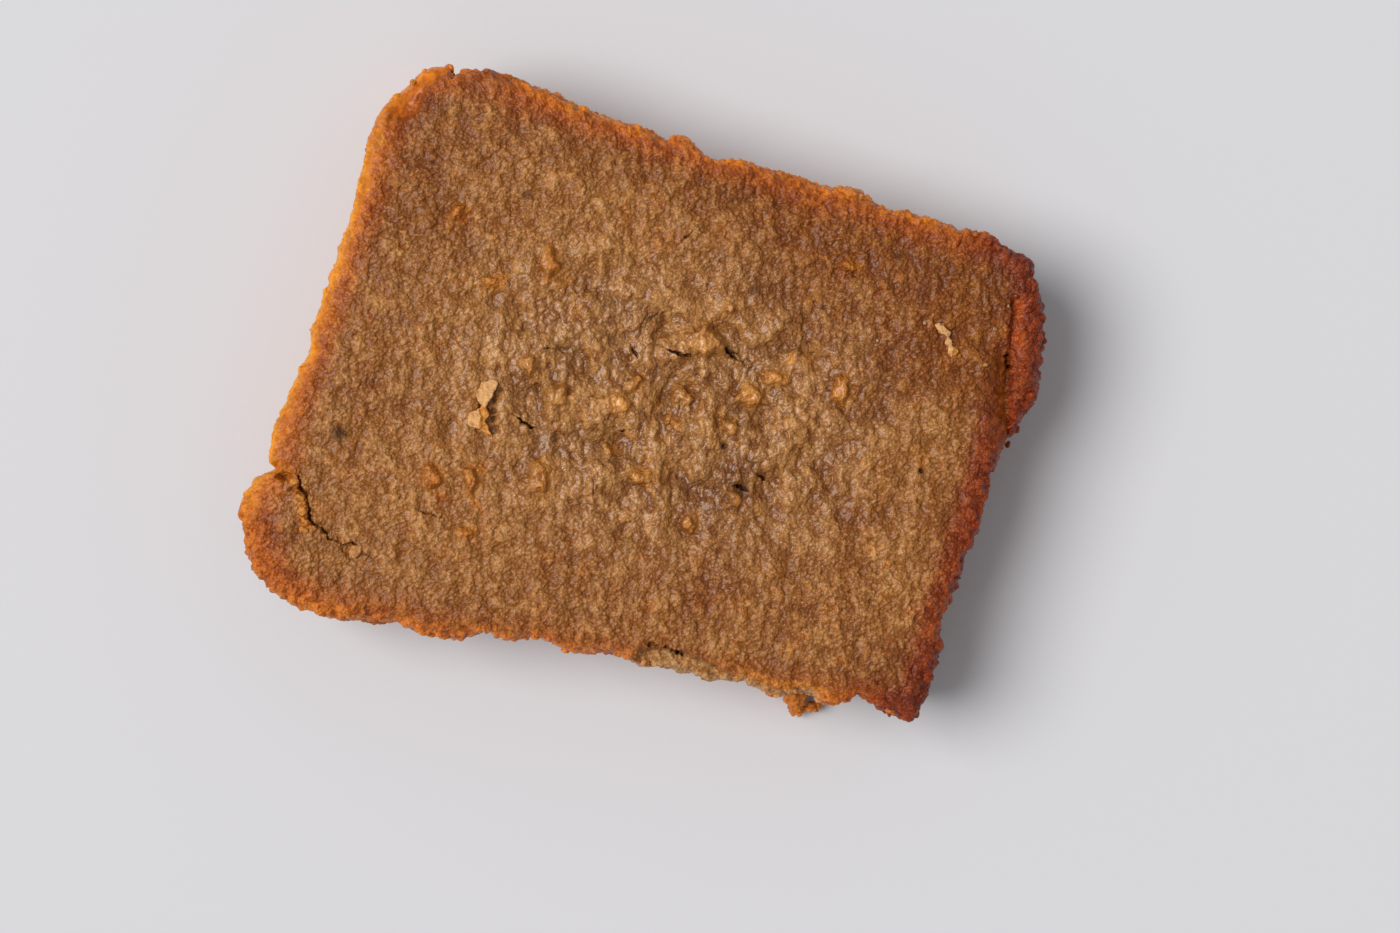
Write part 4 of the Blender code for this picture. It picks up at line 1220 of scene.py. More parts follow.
@dataclass(frozen=True)
class GrainRelief:
    """The swollen grains of the surface: larger and deeper where it is wet and at the rim."""

    dry_size: float = 0.68
    dry_depth: float = 0.24
    soft_size: float = 1.9
    soft_depth: float = 0.54
    knob_size: float = 1.5
    knob_depth: float = 0.31
    wet_size: float = 1.1
    wet_depth: float = 0.33
    worm_size: float = 1.9
    worm_depth: float = 0.2
    rim_size: float = 1.6
    rim_depth: float = 0.55
    pit_size: float = 2.6
    pit_depth: float = 0.8
    stray: float = 0.4

    def tree(self) -> bpy.types.NodeTree:
        """Builds the tree that raises the grains along the values of the surface."""
        sizes = {
            "Dry Size": self.dry_size, "Dry Depth": self.dry_depth, "Soft Size": self.soft_size,
            "Soft Depth": self.soft_depth, "Knob Size": self.knob_size, "Knob Depth": self.knob_depth, "Wet Size": self.wet_size,
            "Wet Depth": self.wet_depth, "Worm Size": self.worm_size, "Worm Depth": self.worm_depth,
            "Rim Size": self.rim_size, "Rim Depth": self.rim_depth, "Pit Size": self.pit_size,
            "Pit Depth": self.pit_depth, "Stray": self.stray,
        }
        inputs = {title: ("NodeSocketFloat", value * MM) for title, value in sizes.items()}
        inputs["Material"] = ("NodeSocketMaterial", None)
        tree = GeometryTree("grain_relief", inputs)
        place = tree.add("GeometryNodeInputPosition")
        wander = tree.noise(place, 1.4, 1.0, "Color")
        wander = tree.join(wander, (0.5, 0.5, 0.5), "SUBTRACT")
        place = tree.join(place, tree.scale(wander, tree.input("Stray") * 2.0))
        dry, dry_chance = self._grains(tree, place, tree.input("Dry Size"))
        rim, _ = self._grains(tree, place, tree.input("Rim Size"))
        place = self._drape(tree, place)
        knob, knob_chance = self._grains(tree, place, tree.input("Knob Size"), 1.45)
        wet, wet_chance = self._grains(tree, place, tree.input("Wet Size"))
        worms = self._noise(tree, place, tree.input("Worm Size"))
        worms = 1 - ((worms - 0.5).size() * 5.0).at_most(1.0)
        soft = self._noise(tree, place, tree.input("Soft Size")) - 0.5
        pits = self._noise(tree, place, tree.input("Pit Size")).between(0.6, 0.74)
        wetness = tree.named("wet")
        on_wall = tree.named("wall").between(0.1, 0.5)
        near_rim = 1 - tree.named("edge").between(0.8, 5.0)
        golden = (1 - tree.named("edge").between(1.4, 3.4)) * (0.3 + tree.named("west") * 0.7) * (1 - tree.named("south"))
        golden = golden * (1 - tree.named("east")) * (1 - on_wall)
        calm = 1 - (tree.named("slick") * 0.6 + tree.named("skin") * 0.7 + golden * 0.4).at_most(0.85)
        shape = dry * tree.input("Dry Depth") * (1 - wetness * 0.6) - 0.5 * tree.input("Dry Depth")
        shape = shape + soft * tree.input("Soft Depth") + (knob - 0.3) * tree.input("Knob Depth") * (1 - wetness * 0.5)
        shape = shape + (wet * tree.input("Wet Depth") + worms * tree.input("Worm Depth") - tree.input("Dry Depth")) * wetness
        shape = shape + (rim - 0.55) * tree.input("Rim Depth") * near_rim - pits * tree.input("Pit Depth") * on_wall
        grain = dry * 0.5 * (1 - wetness) + (wet * 0.6 + worms * 0.25) * wetness + soft * 1.3 + knob * 0.3
        grain = grain * (1 - near_rim * 0.4) + (rim * 0.4 + 0.14) * near_rim
        chance = (dry_chance * 0.4 + knob_chance * 0.6) * (1 - wetness) + wet_chance * wetness
        level = tree.named("wall").between(1.2, 1.6)
        lift = shape * calm * (1 - level)
        offset = tree.scale(tree.named("out", "FLOAT_VECTOR"), lift)
        ports = {"Geometry": tree.input("Geometry"), "Offset": offset}
        geometry = tree.add("GeometryNodeSetPosition", None, ports)
        # The grain's height, kept for the finish, which paints shade in its creases and a highlight on its crests.
        geometry = tree.keep(geometry, "grain", (0.5 + (grain - 0.5) * calm) * (1 - pits * on_wall * 0.7))
        geometry = tree.keep(geometry, "speck", chance)
        return tree.end(geometry)

    @staticmethod
    def _drape(tree: GeometryTree, place: Wire) -> Wire:
        """Leans and stretches places, so that what is read there is longer across the slab."""
        axes = tree.put("ShaderNodeSeparateXYZ", None, {0: place})
        x, y, z = (Wire(tree, axes.outputs[k]) for k in range(3))
        return tree.add("ShaderNodeCombineXYZ", None, {0: x + y * 0.25, 1: y * 0.66, 2: z})

    @staticmethod
    def _noise(tree: GeometryTree, place: Wire, size: Wire) -> Wire:
        """Reads soft noise whose size is an input."""
        return tree.add("ShaderNodeTexNoise", None, {"Vector": place, "Scale": 1 / size, "Detail": 1.0})

    @staticmethod
    def _grains(tree: GeometryTree, place: Wire, size: Wire, tight: float = 1.25) -> tuple[Wire, Wire]:
        """Domes of about one size, high at their tops and 0 between them, and a chance for each."""
        cells = tree.put("ShaderNodeTexVoronoi", {"feature": "F1"}, {"Vector": place, "Scale": 1 / size})
        chance = tree.add("ShaderNodeSeparateXYZ", None, {0: Wire(tree, cells.outputs["Color"])}, "X")
        dome = 1 - ((Wire(tree, cells.outputs["Distance"]) * tight) ** 2.0).at_most(1.0)
        return dome * (0.4 + chance * 1.0), chance


# Sub-assemblies.


def hand_over(piece: bpy.types.Object) -> None:
    """Attaches a piece to the slab's body, hides the solid's own mesh and logs the piece's faces."""
    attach(piece, BODY)
    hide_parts(NODE)
    LOG.info("%s: %d faces", piece.name, len(piece.data.polygons))


@dataclass
class Slab:
    """The slab's own surface: strips of the top, the walls and the base."""

    form: SlabForm
    finish: PuddingFinish
    relief: GrainRelief
    strips: int = 4
    top_squeeze: Plan = (0.93, 0.905)
    top_level: float = 17.0
    wall_squeeze: Plan = (0.93, 0.905)
    wall_level: float = 16.5

    def build(self) -> Surface:
        """Builds and dresses the pieces of the slab, and returns its whole surface."""
        surface = self.form.draw()
        LOG.info("drawn: %d places", len(surface.places))
        material = self.finish.material("baked_pudding")
        whole = surface.to_object("slab_whole")
        apply_tree(whole, self.relief.tree(), {"Material": material})
        surface = self._take_back(whole, surface)
        self._fit(surface)
        Clinging().build(whole)
        normals = surface.normals()
        bpy.data.objects.remove(whole)
        surface.values["normal"] = normals
        for part in self._parts(surface):
            self._piece(surface, *part, material)
        return surface

    def _parts(self, surface: Surface) -> list[tuple]:
        """Shares the faces out: strips of the top, and two halves of the walls with the base."""
        s, wall = surface.values["s"], surface.values["wall"]
        kinds = []
        for faces in (surface.quads, surface.triangles):
            level, middle = wall[faces].max(1), s[faces].mean(1)
            strip = np.clip(np.floor((middle + 1) / 2 * self.strips), 0, self.strips - 1)
            kinds.append(np.where(level <= 1e-6, strip, self.strips + (middle > 0)))
        parts = [(f"top_{k + 1}", self.top_squeeze, self.top_level) for k in range(self.strips)]
        parts += [(f"walls_{side}", self.wall_squeeze, self.wall_level) for side in ("west", "east")]
        return [(name, kinds[0] == k, kinds[1] == k, *inner) for k, (name, *inner) in enumerate(parts)]

    def _take_back(self, whole: bpy.types.Object, surface: Surface) -> Surface:
        """Reads the places and the grain that the tree has made."""
        count = len(surface.places)
        places = np.zeros(count * 3)
        whole.data.vertices.foreach_get("co", places)
        for title in ("grain", "speck"):
            surface.values[title] = np.zeros(count)
            whole.data.attributes[title].data.foreach_get("value", surface.values[title])
        return Surface(places.reshape(-1, 3), surface.quads, surface.triangles, surface.values)

    @staticmethod
    def _fit(surface: Surface) -> None:
        """Keeps the surface within the solid's box."""
        low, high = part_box(NODE)
        surface.places = np.clip(surface.places, np.array(low), np.array(high))

    def _piece(
        self, surface: Surface, name: str, quads: np.ndarray, triangles: np.ndarray, squeeze: Plan, level: float,
        material: bpy.types.Material,
    ) -> bpy.types.Object:
        """Cuts one piece out of the surface, closes it inside the slab and dresses it."""
        part, inner = surface.cut_out(quads, triangles).closed(squeeze, level * MM)
        normals = part.values.pop("normal")
        for title in ("s", "t", "out"):
            part.values.pop(title)
        mesh_object = part.to_object(name)
        mesh = mesh_object.data
        cap = bmesh.new()
        cap.from_mesh(mesh)
        cap.verts.ensure_lookup_table()
        cap.faces.new([cap.verts[k] for k in inner])
        bmesh.ops.triangulate(cap, faces=[face for face in cap.faces if len(face.verts) > 4])
        cap.to_mesh(mesh)
        cap.free()
        mesh.normals_split_custom_set_from_vertices(normals.tolist())
        mesh.materials.append(material)
        hand_over(mesh_object)
        return mesh_object


class CrumbKind(Enum):
    """The colours of crumbs and flakes: baked through, golden, pale inside, browned, and so on."""

    BAKED = linear(212, 124, 38)
    GOLDEN = linear(226, 152, 64)
    PALE = linear(200, 140, 78)
    SHEET = linear(226, 170, 106)
    DOUGH = linear(186, 154, 116)
    RUST = linear(146, 68, 24)


@dataclass(frozen=True)
class Crumb:
    """A crumb: an uneven ball or flat ball with grains round it."""

    x: float
    y: float
    half: tuple[float, float, float]
    kind: CrumbKind
    z: float | None = None
    lift: float = 0.2
    turn: float = 0.0
    tilt: float = 0.0
    grains: int = 18
    grain_share: float = 0.34


@dataclass(frozen=True)
class Flake:
    """A thin scrap that lies on the top: its outline in plan, and how it rises from west to east."""

    outline: tuple[Plan, ...]
    kind: CrumbKind
    lift: float = 0.1
    thickness: float = 0.45
    climb: float = 0.0

    @property
    def middle(self) -> Plan:
        """The middle of its outline."""
        xs, ys = zip(*self.outline)
        return sum(xs) / len(xs), sum(ys) / len(ys)

    @property
    def half(self) -> tuple[float, float, float]:
        """Its half sizes."""
        xs, ys = zip(*self.outline)
        return (max(xs) - min(xs)) / 2, (max(ys) - min(ys)) / 2, 1.2


@dataclass(frozen=True)
class CrumbFinish:
    """The finish of the larger crumbs, whose colour is a value of their surface."""

    roughness: float = 0.5

    def material(self, name: str) -> bpy.types.Material:
        """Builds the material."""
        made = bpy.data.materials.new(name)
        made.use_nodes = True
        tree = Tree(made.node_tree)
        place = tree.add("ShaderNodeTexCoord", out="Object")
        tint = tree.add("ShaderNodeAttribute", {"attribute_name": "tint"}, out="Color")
        grain = tree.add("ShaderNodeAttribute", {"attribute_name": "grain"}, out="Fac")
        patch = tree.noise(place, 0.9, 3.0)
        fine = tree.noise(place, 0.25, 2.0)
        # Painted shade on the crumbs' inner grains and a painted highlight on their outer ones, mixed with random tone.
        share = (grain * 0.6 + patch * 1.3 + (fine - 0.5) * 0.9 - 0.35).between(0.1, 1.0)
        shade = tree.mix(share, (0.45, 0.32, 0.2), (1.2, 1.25, 1.4))
        colour = tree.join(tint, shade, "MULTIPLY")
        bump = tree.add("ShaderNodeBump", None, {"Strength": 1.0, "Distance": 0.2 * MM, "Height": fine + patch})
        shader = tree.add(
            "ShaderNodeBsdfPrincipled",
            {"subsurface_method": "RANDOM_WALK"},
            {
                "Base Color": colour,
                "Roughness": self.roughness,
                "IOR": 1.38,
                "Subsurface Weight": 0.2,
                "Subsurface Radius": (1.0, 0.45, 0.2),
                "Subsurface Scale": 0.8 * MM,
                "Normal": bump,
            },
        )
        tree.put("ShaderNodeOutputMaterial", None, {"Surface": shader})
        return made


@dataclass
class Crumbs:
    """The crumbs and scraps that cling to the slab, each kind merged into bodies with no seams."""

    voxel: float = 0.17
    seed: int = 11
    crumbs: tuple[Crumb, ...] = (
        Crumb(30.6, -38.6, (1.8, 1.6, 1.9), CrumbKind.BAKED, 3.2, grains=30),
        Crumb(29.9, -40.1, (1.4, 0.9, 1.3), CrumbKind.BAKED, 2.4, grains=26, grain_share=0.3),
        Crumb(28.4, -39.6, (0.9, 0.7, 0.9), CrumbKind.GOLDEN, 2.2, grains=14),
        Crumb(29.1, -38.7, (1.6, 0.8, 1.6), CrumbKind.BAKED, 18.6, grains=44, grain_share=0.34),
        Crumb(33.6, -39.4, (2.0, 2.2, 2.6), CrumbKind.BAKED, 3.4, grains=90, grain_share=0.26),
        Crumb(34.3, -41.6, (1.5, 1.3, 1.6), CrumbKind.BAKED, 2.2, grains=50, grain_share=0.26),
        Crumb(36.9, -40.9, (1.4, 0.9, 1.3), CrumbKind.BAKED, 1.9, turn=8, grains=36, grain_share=0.3),
        Crumb(37.5, -38.4, (1.3, 1.1, 1.8), CrumbKind.RUST, 3.2),
        Crumb(38.6, -38.1, (1.1, 0.9, 1.5), CrumbKind.PALE, 3.4),
        Crumb(28.3, -36.6, (2.1, 1.9, 2.1), CrumbKind.BAKED, 14.5, grains=26),
        Crumb(33.0, -36.4, (2.6, 2.1, 2.6), CrumbKind.BAKED, 14.0, grains=34),
        Crumb(31.0, -37.2, (3.1, 2.3, 3.0), CrumbKind.BAKED, 8.6, grains=44),
        Crumb(35.6, -36.6, (2.5, 2.0, 2.4), CrumbKind.RUST, 8.0, grains=30),
        Crumb(23.6, -37.0, (1.7, 1.3, 1.4), CrumbKind.GOLDEN, 21.6, turn=-12),
        Crumb(26.6, -37.3, (1.4, 0.9, 1.2), CrumbKind.PALE, 21.0),
        Crumb(29.4, -36.9, (1.5, 0.8, 1.0), CrumbKind.GOLDEN, 21.6, turn=6),
        Crumb(33.2, -36.8, (2.2, 0.7, 1.0), CrumbKind.GOLDEN, 21.6, turn=2),
        Crumb(22.2, 38.6, (1.9, 1.2, 1.7), CrumbKind.BAKED, 21.6, grains=24),
        Crumb(20.7, 39.4, (0.7, 0.8, 0.9), CrumbKind.BAKED, 21.6, grains=8),
        Crumb(23.8, 38.7, (0.9, 0.7, 0.9), CrumbKind.GOLDEN, 21.8, grains=8),
        Crumb(-3.8, 40.2, (1.0, 0.8, 1.0), CrumbKind.BAKED, 21.8, grains=8),
        Crumb(-55.5, -17.7, (0.6, 1.0, 0.8), CrumbKind.GOLDEN, 19.0, grains=8),
        Crumb(-47.9, 39.6, (0.6, 0.5, 0.6), CrumbKind.GOLDEN, 20.5, grains=6),
        Crumb(-52.2, 27.5, (0.9, 0.5, 0.5), CrumbKind.PALE, 20.0, turn=-35, grains=5),
        Crumb(-52.0, 26.5, (0.6, 0.4, 0.5), CrumbKind.PALE, 20.4, turn=20, grains=5),
        Crumb(-50.5, -25.1, (0.75, 0.7, 0.5), CrumbKind.GOLDEN, lift=-0.1, grains=14),
        Crumb(-49.1, -27.3, (0.9, 0.6, 0.4), CrumbKind.GOLDEN, lift=-0.1, turn=-10, grains=16),
        Crumb(-48.1, -29.3, (0.85, 0.8, 0.4), CrumbKind.GOLDEN, lift=-0.1, grains=18),
        Crumb(-47.3, -32.0, (0.95, 0.5, 0.4), CrumbKind.GOLDEN, lift=-0.1, turn=-8, grains=16),
        Crumb(49.1, 24.0, (0.45, 0.4, 0.2), CrumbKind.DOUGH, lift=-0.1, grains=6),
        Crumb(50.2, 28.0, (0.35, 0.4, 0.2), CrumbKind.DOUGH, lift=-0.1, grains=6),
        Crumb(49.0, 18.3, (0.6, 0.35, 0.2), CrumbKind.PALE, lift=-0.05, turn=30, grains=7),
        Crumb(38.3, 22.3, (0.35, 0.3, 0.2), CrumbKind.DOUGH, lift=-0.1, grains=4),
        Crumb(31.8, 17.9, (0.3, 0.3, 0.2), CrumbKind.DOUGH, lift=-0.1, grains=4),
        Crumb(56.2, 9.9, (0.7, 0.8, 0.8), CrumbKind.RUST, 19.0, grains=8),
        Crumb(54.7, 7.9, (0.7, 0.7, 0.8), CrumbKind.GOLDEN, 20.0, grains=8),
        Crumb(55.8, 7.3, (0.5, 0.6, 0.6), CrumbKind.RUST, 18.0, grains=6),
        Crumb(43.4, -35.2, (1.2, 0.7, 0.9), CrumbKind.GOLDEN, 21.6, turn=-15, grains=10),
        Crumb(45.6, -36.4, (1.1, 0.8, 0.9), CrumbKind.BAKED, 21.2, turn=-20, grains=10),
        Crumb(47.8, -37.2, (1.1, 0.7, 1.0), CrumbKind.BAKED, 20.8, grains=10),
        Crumb(50.4, -37.9, (1.1, 0.6, 1.2), CrumbKind.RUST, 20.5, grains=12),
        Crumb(51.9, -36.9, (0.6, 0.8, 1.0), CrumbKind.RUST, 20.6, grains=8),
    )
    flakes: tuple[Flake, ...] = (
        Flake((
            (-26.9, -4.6), (-26.5, -3.6), (-26.0, -3.1), (-25.3, -2.8), (-24.8, -2.4), (-23.9, -2.2), (-23.5, -2.8),
            (-23.5, -3.5), (-23.8, -4.4), (-23.8, -5.1), (-24.2, -5.9), (-24.4, -6.9), (-25.1, -6.7), (-25.9, -6.3),
            (-26.4, -5.5),
        ), CrumbKind.SHEET, 0.3, 0.45, 0.3),
        Flake((
            (-25.9, -7.5), (-25.2, -6.9), (-24.5, -6.6), (-24.0, -7.1), (-23.4, -7.9), (-23.9, -8.2), (-24.1, -8.9),
            (-23.5, -9.5), (-23.0, -10.3), (-22.5, -10.8), (-23.4, -10.7), (-24.4, -10.5), (-25.0, -9.4), (-25.3, -8.4),
        ), CrumbKind.GOLDEN, 0.15, 0.5, 0.3),
        Flake((
            (-26.8, -8.3), (-26.2, -7.8), (-25.5, -7.3), (-24.7, -8.3), (-24.4, -9.4), (-24.2, -10.4), (-25.3, -10.4),
            (-26.2, -10.2), (-26.7, -9.7), (-26.8, -8.9),
        ), CrumbKind.SHEET, 0.05, 0.45, 0.2),
        Flake((
            (39.7, 22.4), (40.4, 22.9), (41.2, 22.6), (42.0, 22.0), (42.7, 21.9), (42.6, 21.3), (42.0, 21.0),
            (41.2, 21.2), (40.5, 21.6),
        ), CrumbKind.SHEET, 0.0, 0.3, 0.12),
        Flake((
            (41.9, 20.6), (42.5, 21.0), (43.1, 20.5), (43.5, 19.6), (43.9, 18.9), (43.5, 18.1), (42.8, 18.5),
            (42.7, 19.4), (42.1, 19.9),
        ), CrumbKind.SHEET, 0.0, 0.3, 0.12),
        Flake(((43.1, 19.5), (44.1, 19.7), (44.5, 19.1), (44.0, 18.4), (43.3, 18.4)), CrumbKind.GOLDEN, -0.1, 0.35),
        Flake((
            (-39.8, -32.9), (-39.0, -32.5), (-38.0, -32.2), (-37.7, -32.5), (-37.8, -33.7), (-38.5, -34.4),
            (-39.3, -34.6), (-39.7, -33.8),
        ), CrumbKind.PALE, -0.15, 0.3, 0.1),
    )

    def build(self, surface: Surface) -> bpy.types.Object:
        """Shapes all crumbs over the slab's surface as one piece.

        Args:
            surface: The finished surface of the slab, on which some of them lie.

        Returns:
            The piece.
        """
        mesh = bmesh.new()
        chance = np.random.default_rng(self.seed)
        bodies = []
        for crumb in self.crumbs:
            level = crumb.z if crumb.z is not None else self._ground(surface, (crumb.x, crumb.y)) + crumb.lift
            centre = np.array((crumb.x, crumb.y, level))
            bodies.append((centre, crumb.half, crumb.kind, 0.0))
            self._add(mesh, crumb, centre, chance)
        for flake in self.flakes:
            centre = np.array((*flake.middle, self._ground(surface, flake.middle) + flake.lift))
            bodies.append((centre, flake.half, flake.kind, 1.0))
            self._add_flake(mesh, flake, centre, chance)
        rough = bpy.data.meshes.new("rough_crumbs")
        mesh.to_mesh(rough)
        mesh.free()
        rough_object = bpy.data.objects.new("rough_crumbs", rough)
        bpy.context.scene.collection.objects.link(rough_object)
        merge = rough_object.modifiers.new("merge", "REMESH")
        merge.mode = "VOXEL"
        merge.voxel_size = self.voxel * MM
        result = bpy.data.meshes.new_from_object(rough_object.evaluated_get(bpy.context.evaluated_depsgraph_get()))
        bpy.data.objects.remove(rough_object)
        merged = self._shape(result, bodies)
        bpy.data.meshes.remove(result)
        piece = merged.to_object("crumbs")
        piece.data.materials.append(CrumbFinish().material("crumb"))
        hand_over(piece)
        return piece

    @staticmethod
    def _ground(surface: Surface, place: Plan) -> float:
        """The height of the top at a place, in millimetres."""
        away = np.hypot(*(surface.places[:, :2].T / MM - np.array(place)[:, None]))
        near = (away < 0.6) & (surface.values["wall"] < 0.5)
        return float(surface.places[near, 2].max() / MM)

    @staticmethod
    def _add_flake(mesh: bmesh.types.BMesh, flake: Flake, centre: np.ndarray, chance: np.random.Generator) -> None:
        """Adds the plate of one flake, with a rounded edge and an uneven top."""
        spread = np.array(flake.outline) - centre[:2]
        rings = []
        for share, level in ((0.86, 0.0), (1.0, 0.3), (1.0, 0.7), (0.86, 1.0), (0.5, 1.1)):
            plan = spread * share
            height = flake.thickness * level + flake.climb * plan[:, 0] + chance.uniform(-0.2, 0.2, len(plan))
            places = np.column_stack((plan, height)) + centre
            rings.append([mesh.verts.new(place * MM) for place in places])
        ends = [mesh.verts.new((centre + (0, 0, level)) * MM) for level in (0.0, flake.thickness)]
        count = len(spread)
        for k in range(count):
            after = (k + 1) % count
            for low, high in zip(rings, rings[1:]):
                mesh.faces.new((low[k], low[after], high[after], high[k]))
            mesh.faces.new((ends[0], rings[0][after], rings[0][k]))
            mesh.faces.new((ends[1], rings[-1][k], rings[-1][after]))

    @staticmethod
    def _add(mesh: bmesh.types.BMesh, crumb: Crumb, centre: np.ndarray, chance: np.random.Generator) -> None:
        """Adds the rough balls of one crumb."""
        half = np.array(crumb.half)
        turn = Vector((0, 0, 1)), math.radians(crumb.turn), math.radians(crumb.tilt)
        balls = [(np.zeros(3), half * 0.86)]
        for _ in range(crumb.grains):
            way = chance.normal(size=3)
            way /= np.linalg.norm(way)
            balls.append((way * half * 0.8, np.full(3, half.min() * crumb.grain_share * chance.uniform(0.6, 1.3))))
        spin = np.array(((math.cos(turn[1]), -math.sin(turn[1]), 0), (math.sin(turn[1]), math.cos(turn[1]), 0), (0, 0, 1)))
        lean = np.array(((math.cos(turn[2]), 0, math.sin(turn[2])), (0, 1, 0), (-math.sin(turn[2]), 0, math.cos(turn[2]))))
        for offset, size in balls:
            ball = bmesh.ops.create_icosphere(mesh, subdivisions=3 if offset is balls[0][0] else 2, radius=1.0)
            for vertex in ball["verts"]:
                place = spin @ lean @ (offset + np.array(vertex.co) * size)
                vertex.co = (centre + place) * MM

    @staticmethod
    def _shape(mesh: bpy.types.Mesh, bodies: list[tuple]) -> Surface:
        """Roughens the merged crumbs and gives each its colour.

        Args:
            mesh: The merged crumbs.
            bodies: The centre, half sizes, kind and smoothness of each.

        Returns:
            The surface.
        """
        places = np.zeros(len(mesh.vertices) * 3)
        mesh.vertices.foreach_get("co", places)
        places = places.reshape(-1, 3)
        quads = np.array([list(face.vertices) for face in mesh.polygons if len(face.vertices) == 4])
        triangles = np.array([list(face.vertices) for face in mesh.polygons if len(face.vertices) == 3])
        surface = Surface(places, quads, triangles.reshape(-1, 3).astype(int), {})
        rough = uneven(places, 0.9) * 0.18 + uneven(places, 0.45, (3.0, 1.0, 0.0)) * 0.14
        surface.places = places + surface.normals() * rough[:, None] * MM
        away = np.stack([np.linalg.norm((places / MM - body[0]) / body[1], axis=1) for body in bodies])
        nearest = away.argmin(0)
        colours = np.array([body[2].value for body in bodies])
        even = np.array([body[3] for body in bodies])[nearest]
        # grain: higher away from each crumb's middle, where the finish paints a highlight, and lower between, where it
        # paints shade.
        grain = np.clip(away.min(0) - 0.3, 0.0, 1.0) * (1 - even) + 0.65 * even
        surface.values = {"tint": colours[nearest], "grain": grain}
        low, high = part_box(NODE)
        surface.places = np.clip(surface.places, np.array(low), np.array(high))
        return surface


@dataclass(frozen=True)
class Clinging:
    """The many small crumbs on the rim and the walls, strewn by a rule."""

    density: float = 52000.0
    least: float = 0.2
    largest: float = 0.8
    sink: float = 0.18
    uneven_size: float = 0.6
    uneven_depth: float = 0.35
    seed: int = 5

    def build(self, whole: bpy.types.Object) -> bpy.types.Object:
        """Strews the crumbs over the dressed surface, as a piece of its own."""
        mesh = whole.data.copy()
        piece = bpy.data.objects.new("clinging_crumbs", mesh)
        mesh.name = piece.name
        bpy.context.scene.collection.objects.link(piece)
        material = whole.data.materials[0]
        apply_tree(piece, self.tree(), {"Material": material})
        mesh = piece.data
        places = np.zeros(len(mesh.vertices) * 3)
        mesh.vertices.foreach_get("co", places)
        low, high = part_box(NODE)
        mesh.vertices.foreach_set("co", np.clip(places.reshape(-1, 3), np.array(low), np.array(high)).ravel())
        mesh.shade_smooth()
        hand_over(piece)
        return piece

    def tree(self) -> bpy.types.NodeTree:
        """Builds the tree that strews crumbs where the surface is crumbly."""
        sizes = {
            "Least": self.least, "Largest": self.largest, "Sink": self.sink,
            "Uneven Size": self.uneven_size, "Uneven Depth": self.uneven_depth,
        }
        inputs = {title: ("NodeSocketFloat", value * MM) for title, value in sizes.items()}
        inputs["Density"] = ("NodeSocketFloat", self.density)
        inputs["Seed"] = ("NodeSocketInt", self.seed)
        inputs["Material"] = ("NodeSocketMaterial", None)
        tree = GeometryTree("clinging_crumbs", inputs)
        strewn = tree.put("GeometryNodeDistributePointsOnFaces", {"distribute_method": "RANDOM"}, {
            "Mesh": tree.input("Geometry"), "Density": tree.named("crumbly") * tree.input("Density"),
            "Seed": tree.input("Seed"),
        })
        inwards = tree.scale(Wire(tree, strewn.outputs["Normal"]), tree.input("Sink") * -1.0)
        points = tree.add("GeometryNodeSetPosition", None, {"Geometry": Wire(tree, strewn.outputs["Points"]), "Offset": inwards})
        size = tree.add("FunctionNodeRandomValue", {"data_type": "FLOAT"}, {2: tree.input("Least"), 3: tree.input("Largest"), "Seed": 3}, 1)
        stretch = tree.add("FunctionNodeRandomValue", {"data_type": "FLOAT_VECTOR"}, {0: (0.7, 0.7, 0.7), 1: (1.3, 1.3, 1.3), "Seed": 7}, 0)
        turn = tree.add("FunctionNodeRandomValue", {"data_type": "FLOAT_VECTOR"}, {0: (0.0, 0.0, 0.0), 1: (6.2, 6.2, 6.2), "Seed": 9}, 0)
        ball = tree.add("GeometryNodeMeshIcoSphere", None, {"Radius": 1.0, "Subdivisions": 2})
        ports = {"Points": points, "Instance": ball, "Rotation": turn, "Scale": tree.scale(stretch, size)}
        placed = tree.add("GeometryNodeInstanceOnPoints", None, ports)
        crumbs = tree.add("GeometryNodeRealizeInstances", None, {"Geometry": placed})
        place = tree.add("GeometryNodeInputPosition")
        ports = {"Vector": place, "Scale": 1 / tree.input("Uneven Size"), "Detail": 1.0}
        pushed = tree.join(tree.add("ShaderNodeTexNoise", None, ports, "Color"), (0.5, 0.5, 0.5), "SUBTRACT")
        ports = {"Geometry": crumbs, "Offset": tree.scale(pushed, tree.input("Uneven Depth") * 2.0)}
        crumbs = tree.add("GeometryNodeSetPosition", None, ports)
        crumbs = tree.keep(crumbs, "grain", tree.noise(place, 0.8, 1.0) + 0.25)
        return tree.end(crumbs)


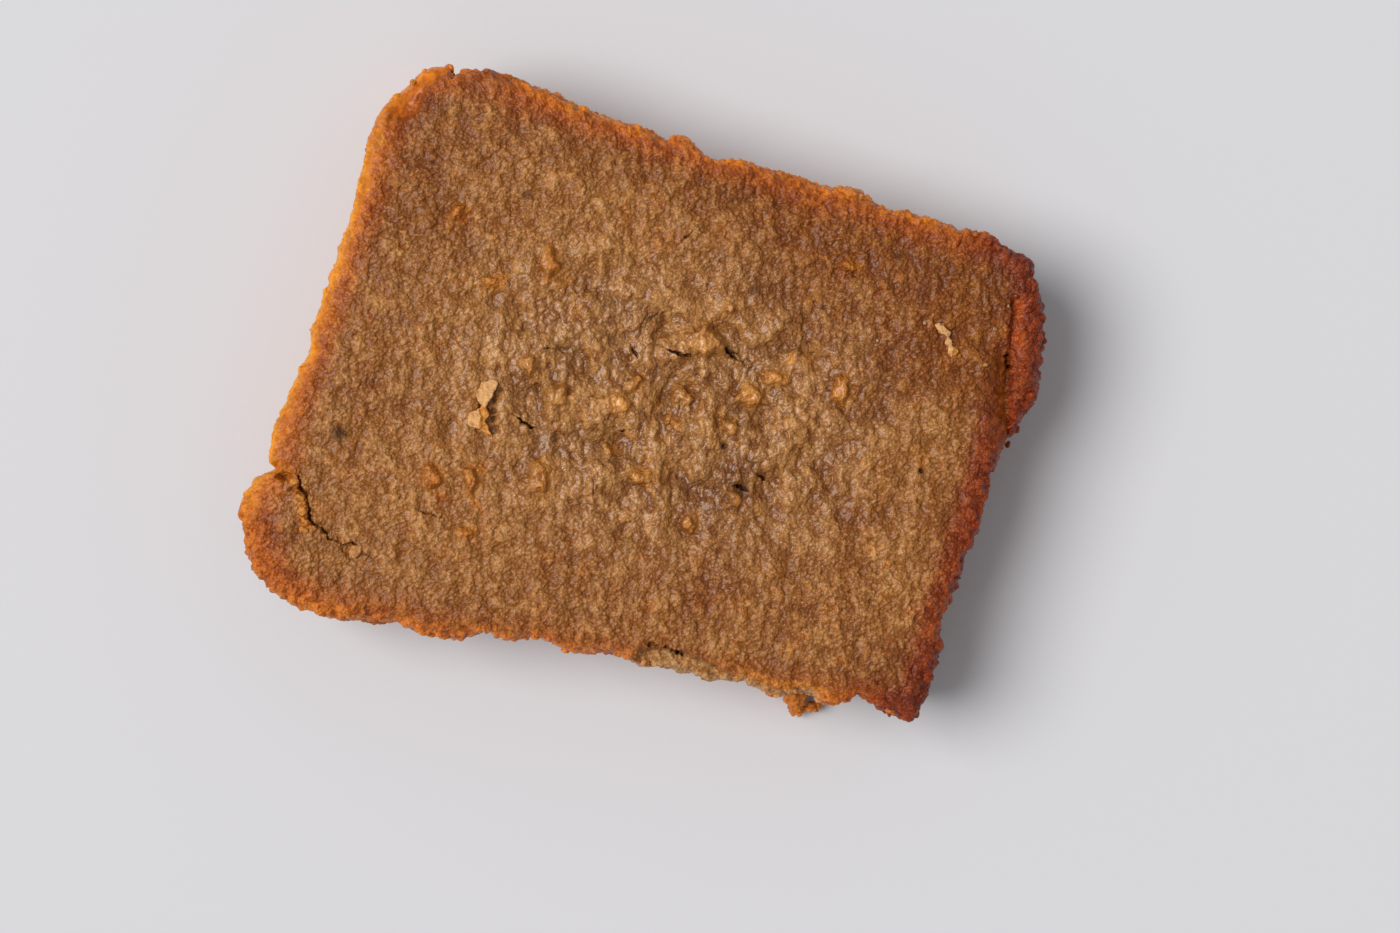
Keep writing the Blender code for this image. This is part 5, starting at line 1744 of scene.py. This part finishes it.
@dataclass(frozen=True)
class Studio:
    """The floor, the lights and the camera, which looks straight down."""

    camera_place: tuple[float, float, float] = (9.89, -7.67, 550.0)
    camera_turn: float = 14.0
    focal: float = 87.4
    sensor: float = 36.0
    floor_half: float = 900.0
    key_strength: float = 2.34
    key_angle: float = 38.0
    key_height: float = 56.0
    key_from: float = 172.0
    sky_strength: float = 0.31

    def build(self) -> None:
        """Sets up the floor, the lights, the camera and the plain view of colours."""
        self._floor()
        self._lights()
        self._camera()
        bpy.context.scene.view_settings.view_transform = "Standard"

    def _floor(self) -> None:
        """A plain square, just below the base."""
        half = self.floor_half * MM
        mesh = bpy.data.meshes.new("floor")
        mesh.from_pydata([(-half, -half, 0), (half, -half, 0), (half, half, 0), (-half, half, 0)], [], [(0, 1, 2, 3)])
        floor = bpy.data.objects.new("floor", mesh)
        bpy.context.scene.collection.objects.link(floor)
        mesh.materials.append(FloorFinish().material())

    def _lights(self) -> None:
        """A soft key from the camera's left, and even light from all round."""
        lamp = bpy.data.lights.new("key", "SUN")
        lamp.energy = self.key_strength
        lamp.angle = math.radians(self.key_angle)
        lamp.color = (1.0, 0.97, 0.94)
        key = bpy.data.objects.new("key", lamp)
        key.rotation_euler = self._aim(self.key_from + self.camera_turn, self.key_height)
        bpy.context.scene.collection.objects.link(key)
        world = bpy.data.worlds.new("even_light")
        bpy.context.scene.world = world
        world.use_nodes = True
        background = world.node_tree.nodes["Background"]
        background.inputs["Color"].default_value = (0.96, 0.97, 0.98, 1.0)
        background.inputs["Strength"].default_value = self.sky_strength

    @staticmethod
    def _aim(bearing: float, height: float) -> tuple[float, float, float]:
        """The turn of a lamp that shines from a bearing, anticlockwise from +X, and a height."""
        bearing, height = math.radians(bearing), math.radians(height)
        source = Vector((math.cos(bearing) * math.cos(height), math.sin(bearing) * math.cos(height), math.sin(height)))
        return tuple(source.to_track_quat("Z", "Y").to_euler())

    def _camera(self) -> None:
        """The camera, at the photograph's angle."""
        lens = bpy.data.cameras.new("camera")
        lens.lens = self.focal
        lens.sensor_width = self.sensor
        lens.sensor_fit = "HORIZONTAL"
        lens.clip_start = 0.01
        camera = bpy.data.objects.new("camera", lens)
        camera.location = [value * MM for value in self.camera_place]
        camera.rotation_euler = (0, 0, math.radians(self.camera_turn))
        bpy.context.scene.collection.objects.link(camera)
        bpy.context.scene.camera = camera


def main() -> None:
    """Builds the slab and what clings to it, in order."""
    logging.basicConfig(level=logging.INFO, format="%(message)s")
    Studio().build()
    surface = Slab(SlabForm(), PuddingFinish(), GrainRelief()).build()
    Crumbs().build(surface)


if __name__ == "__main__":
    main()
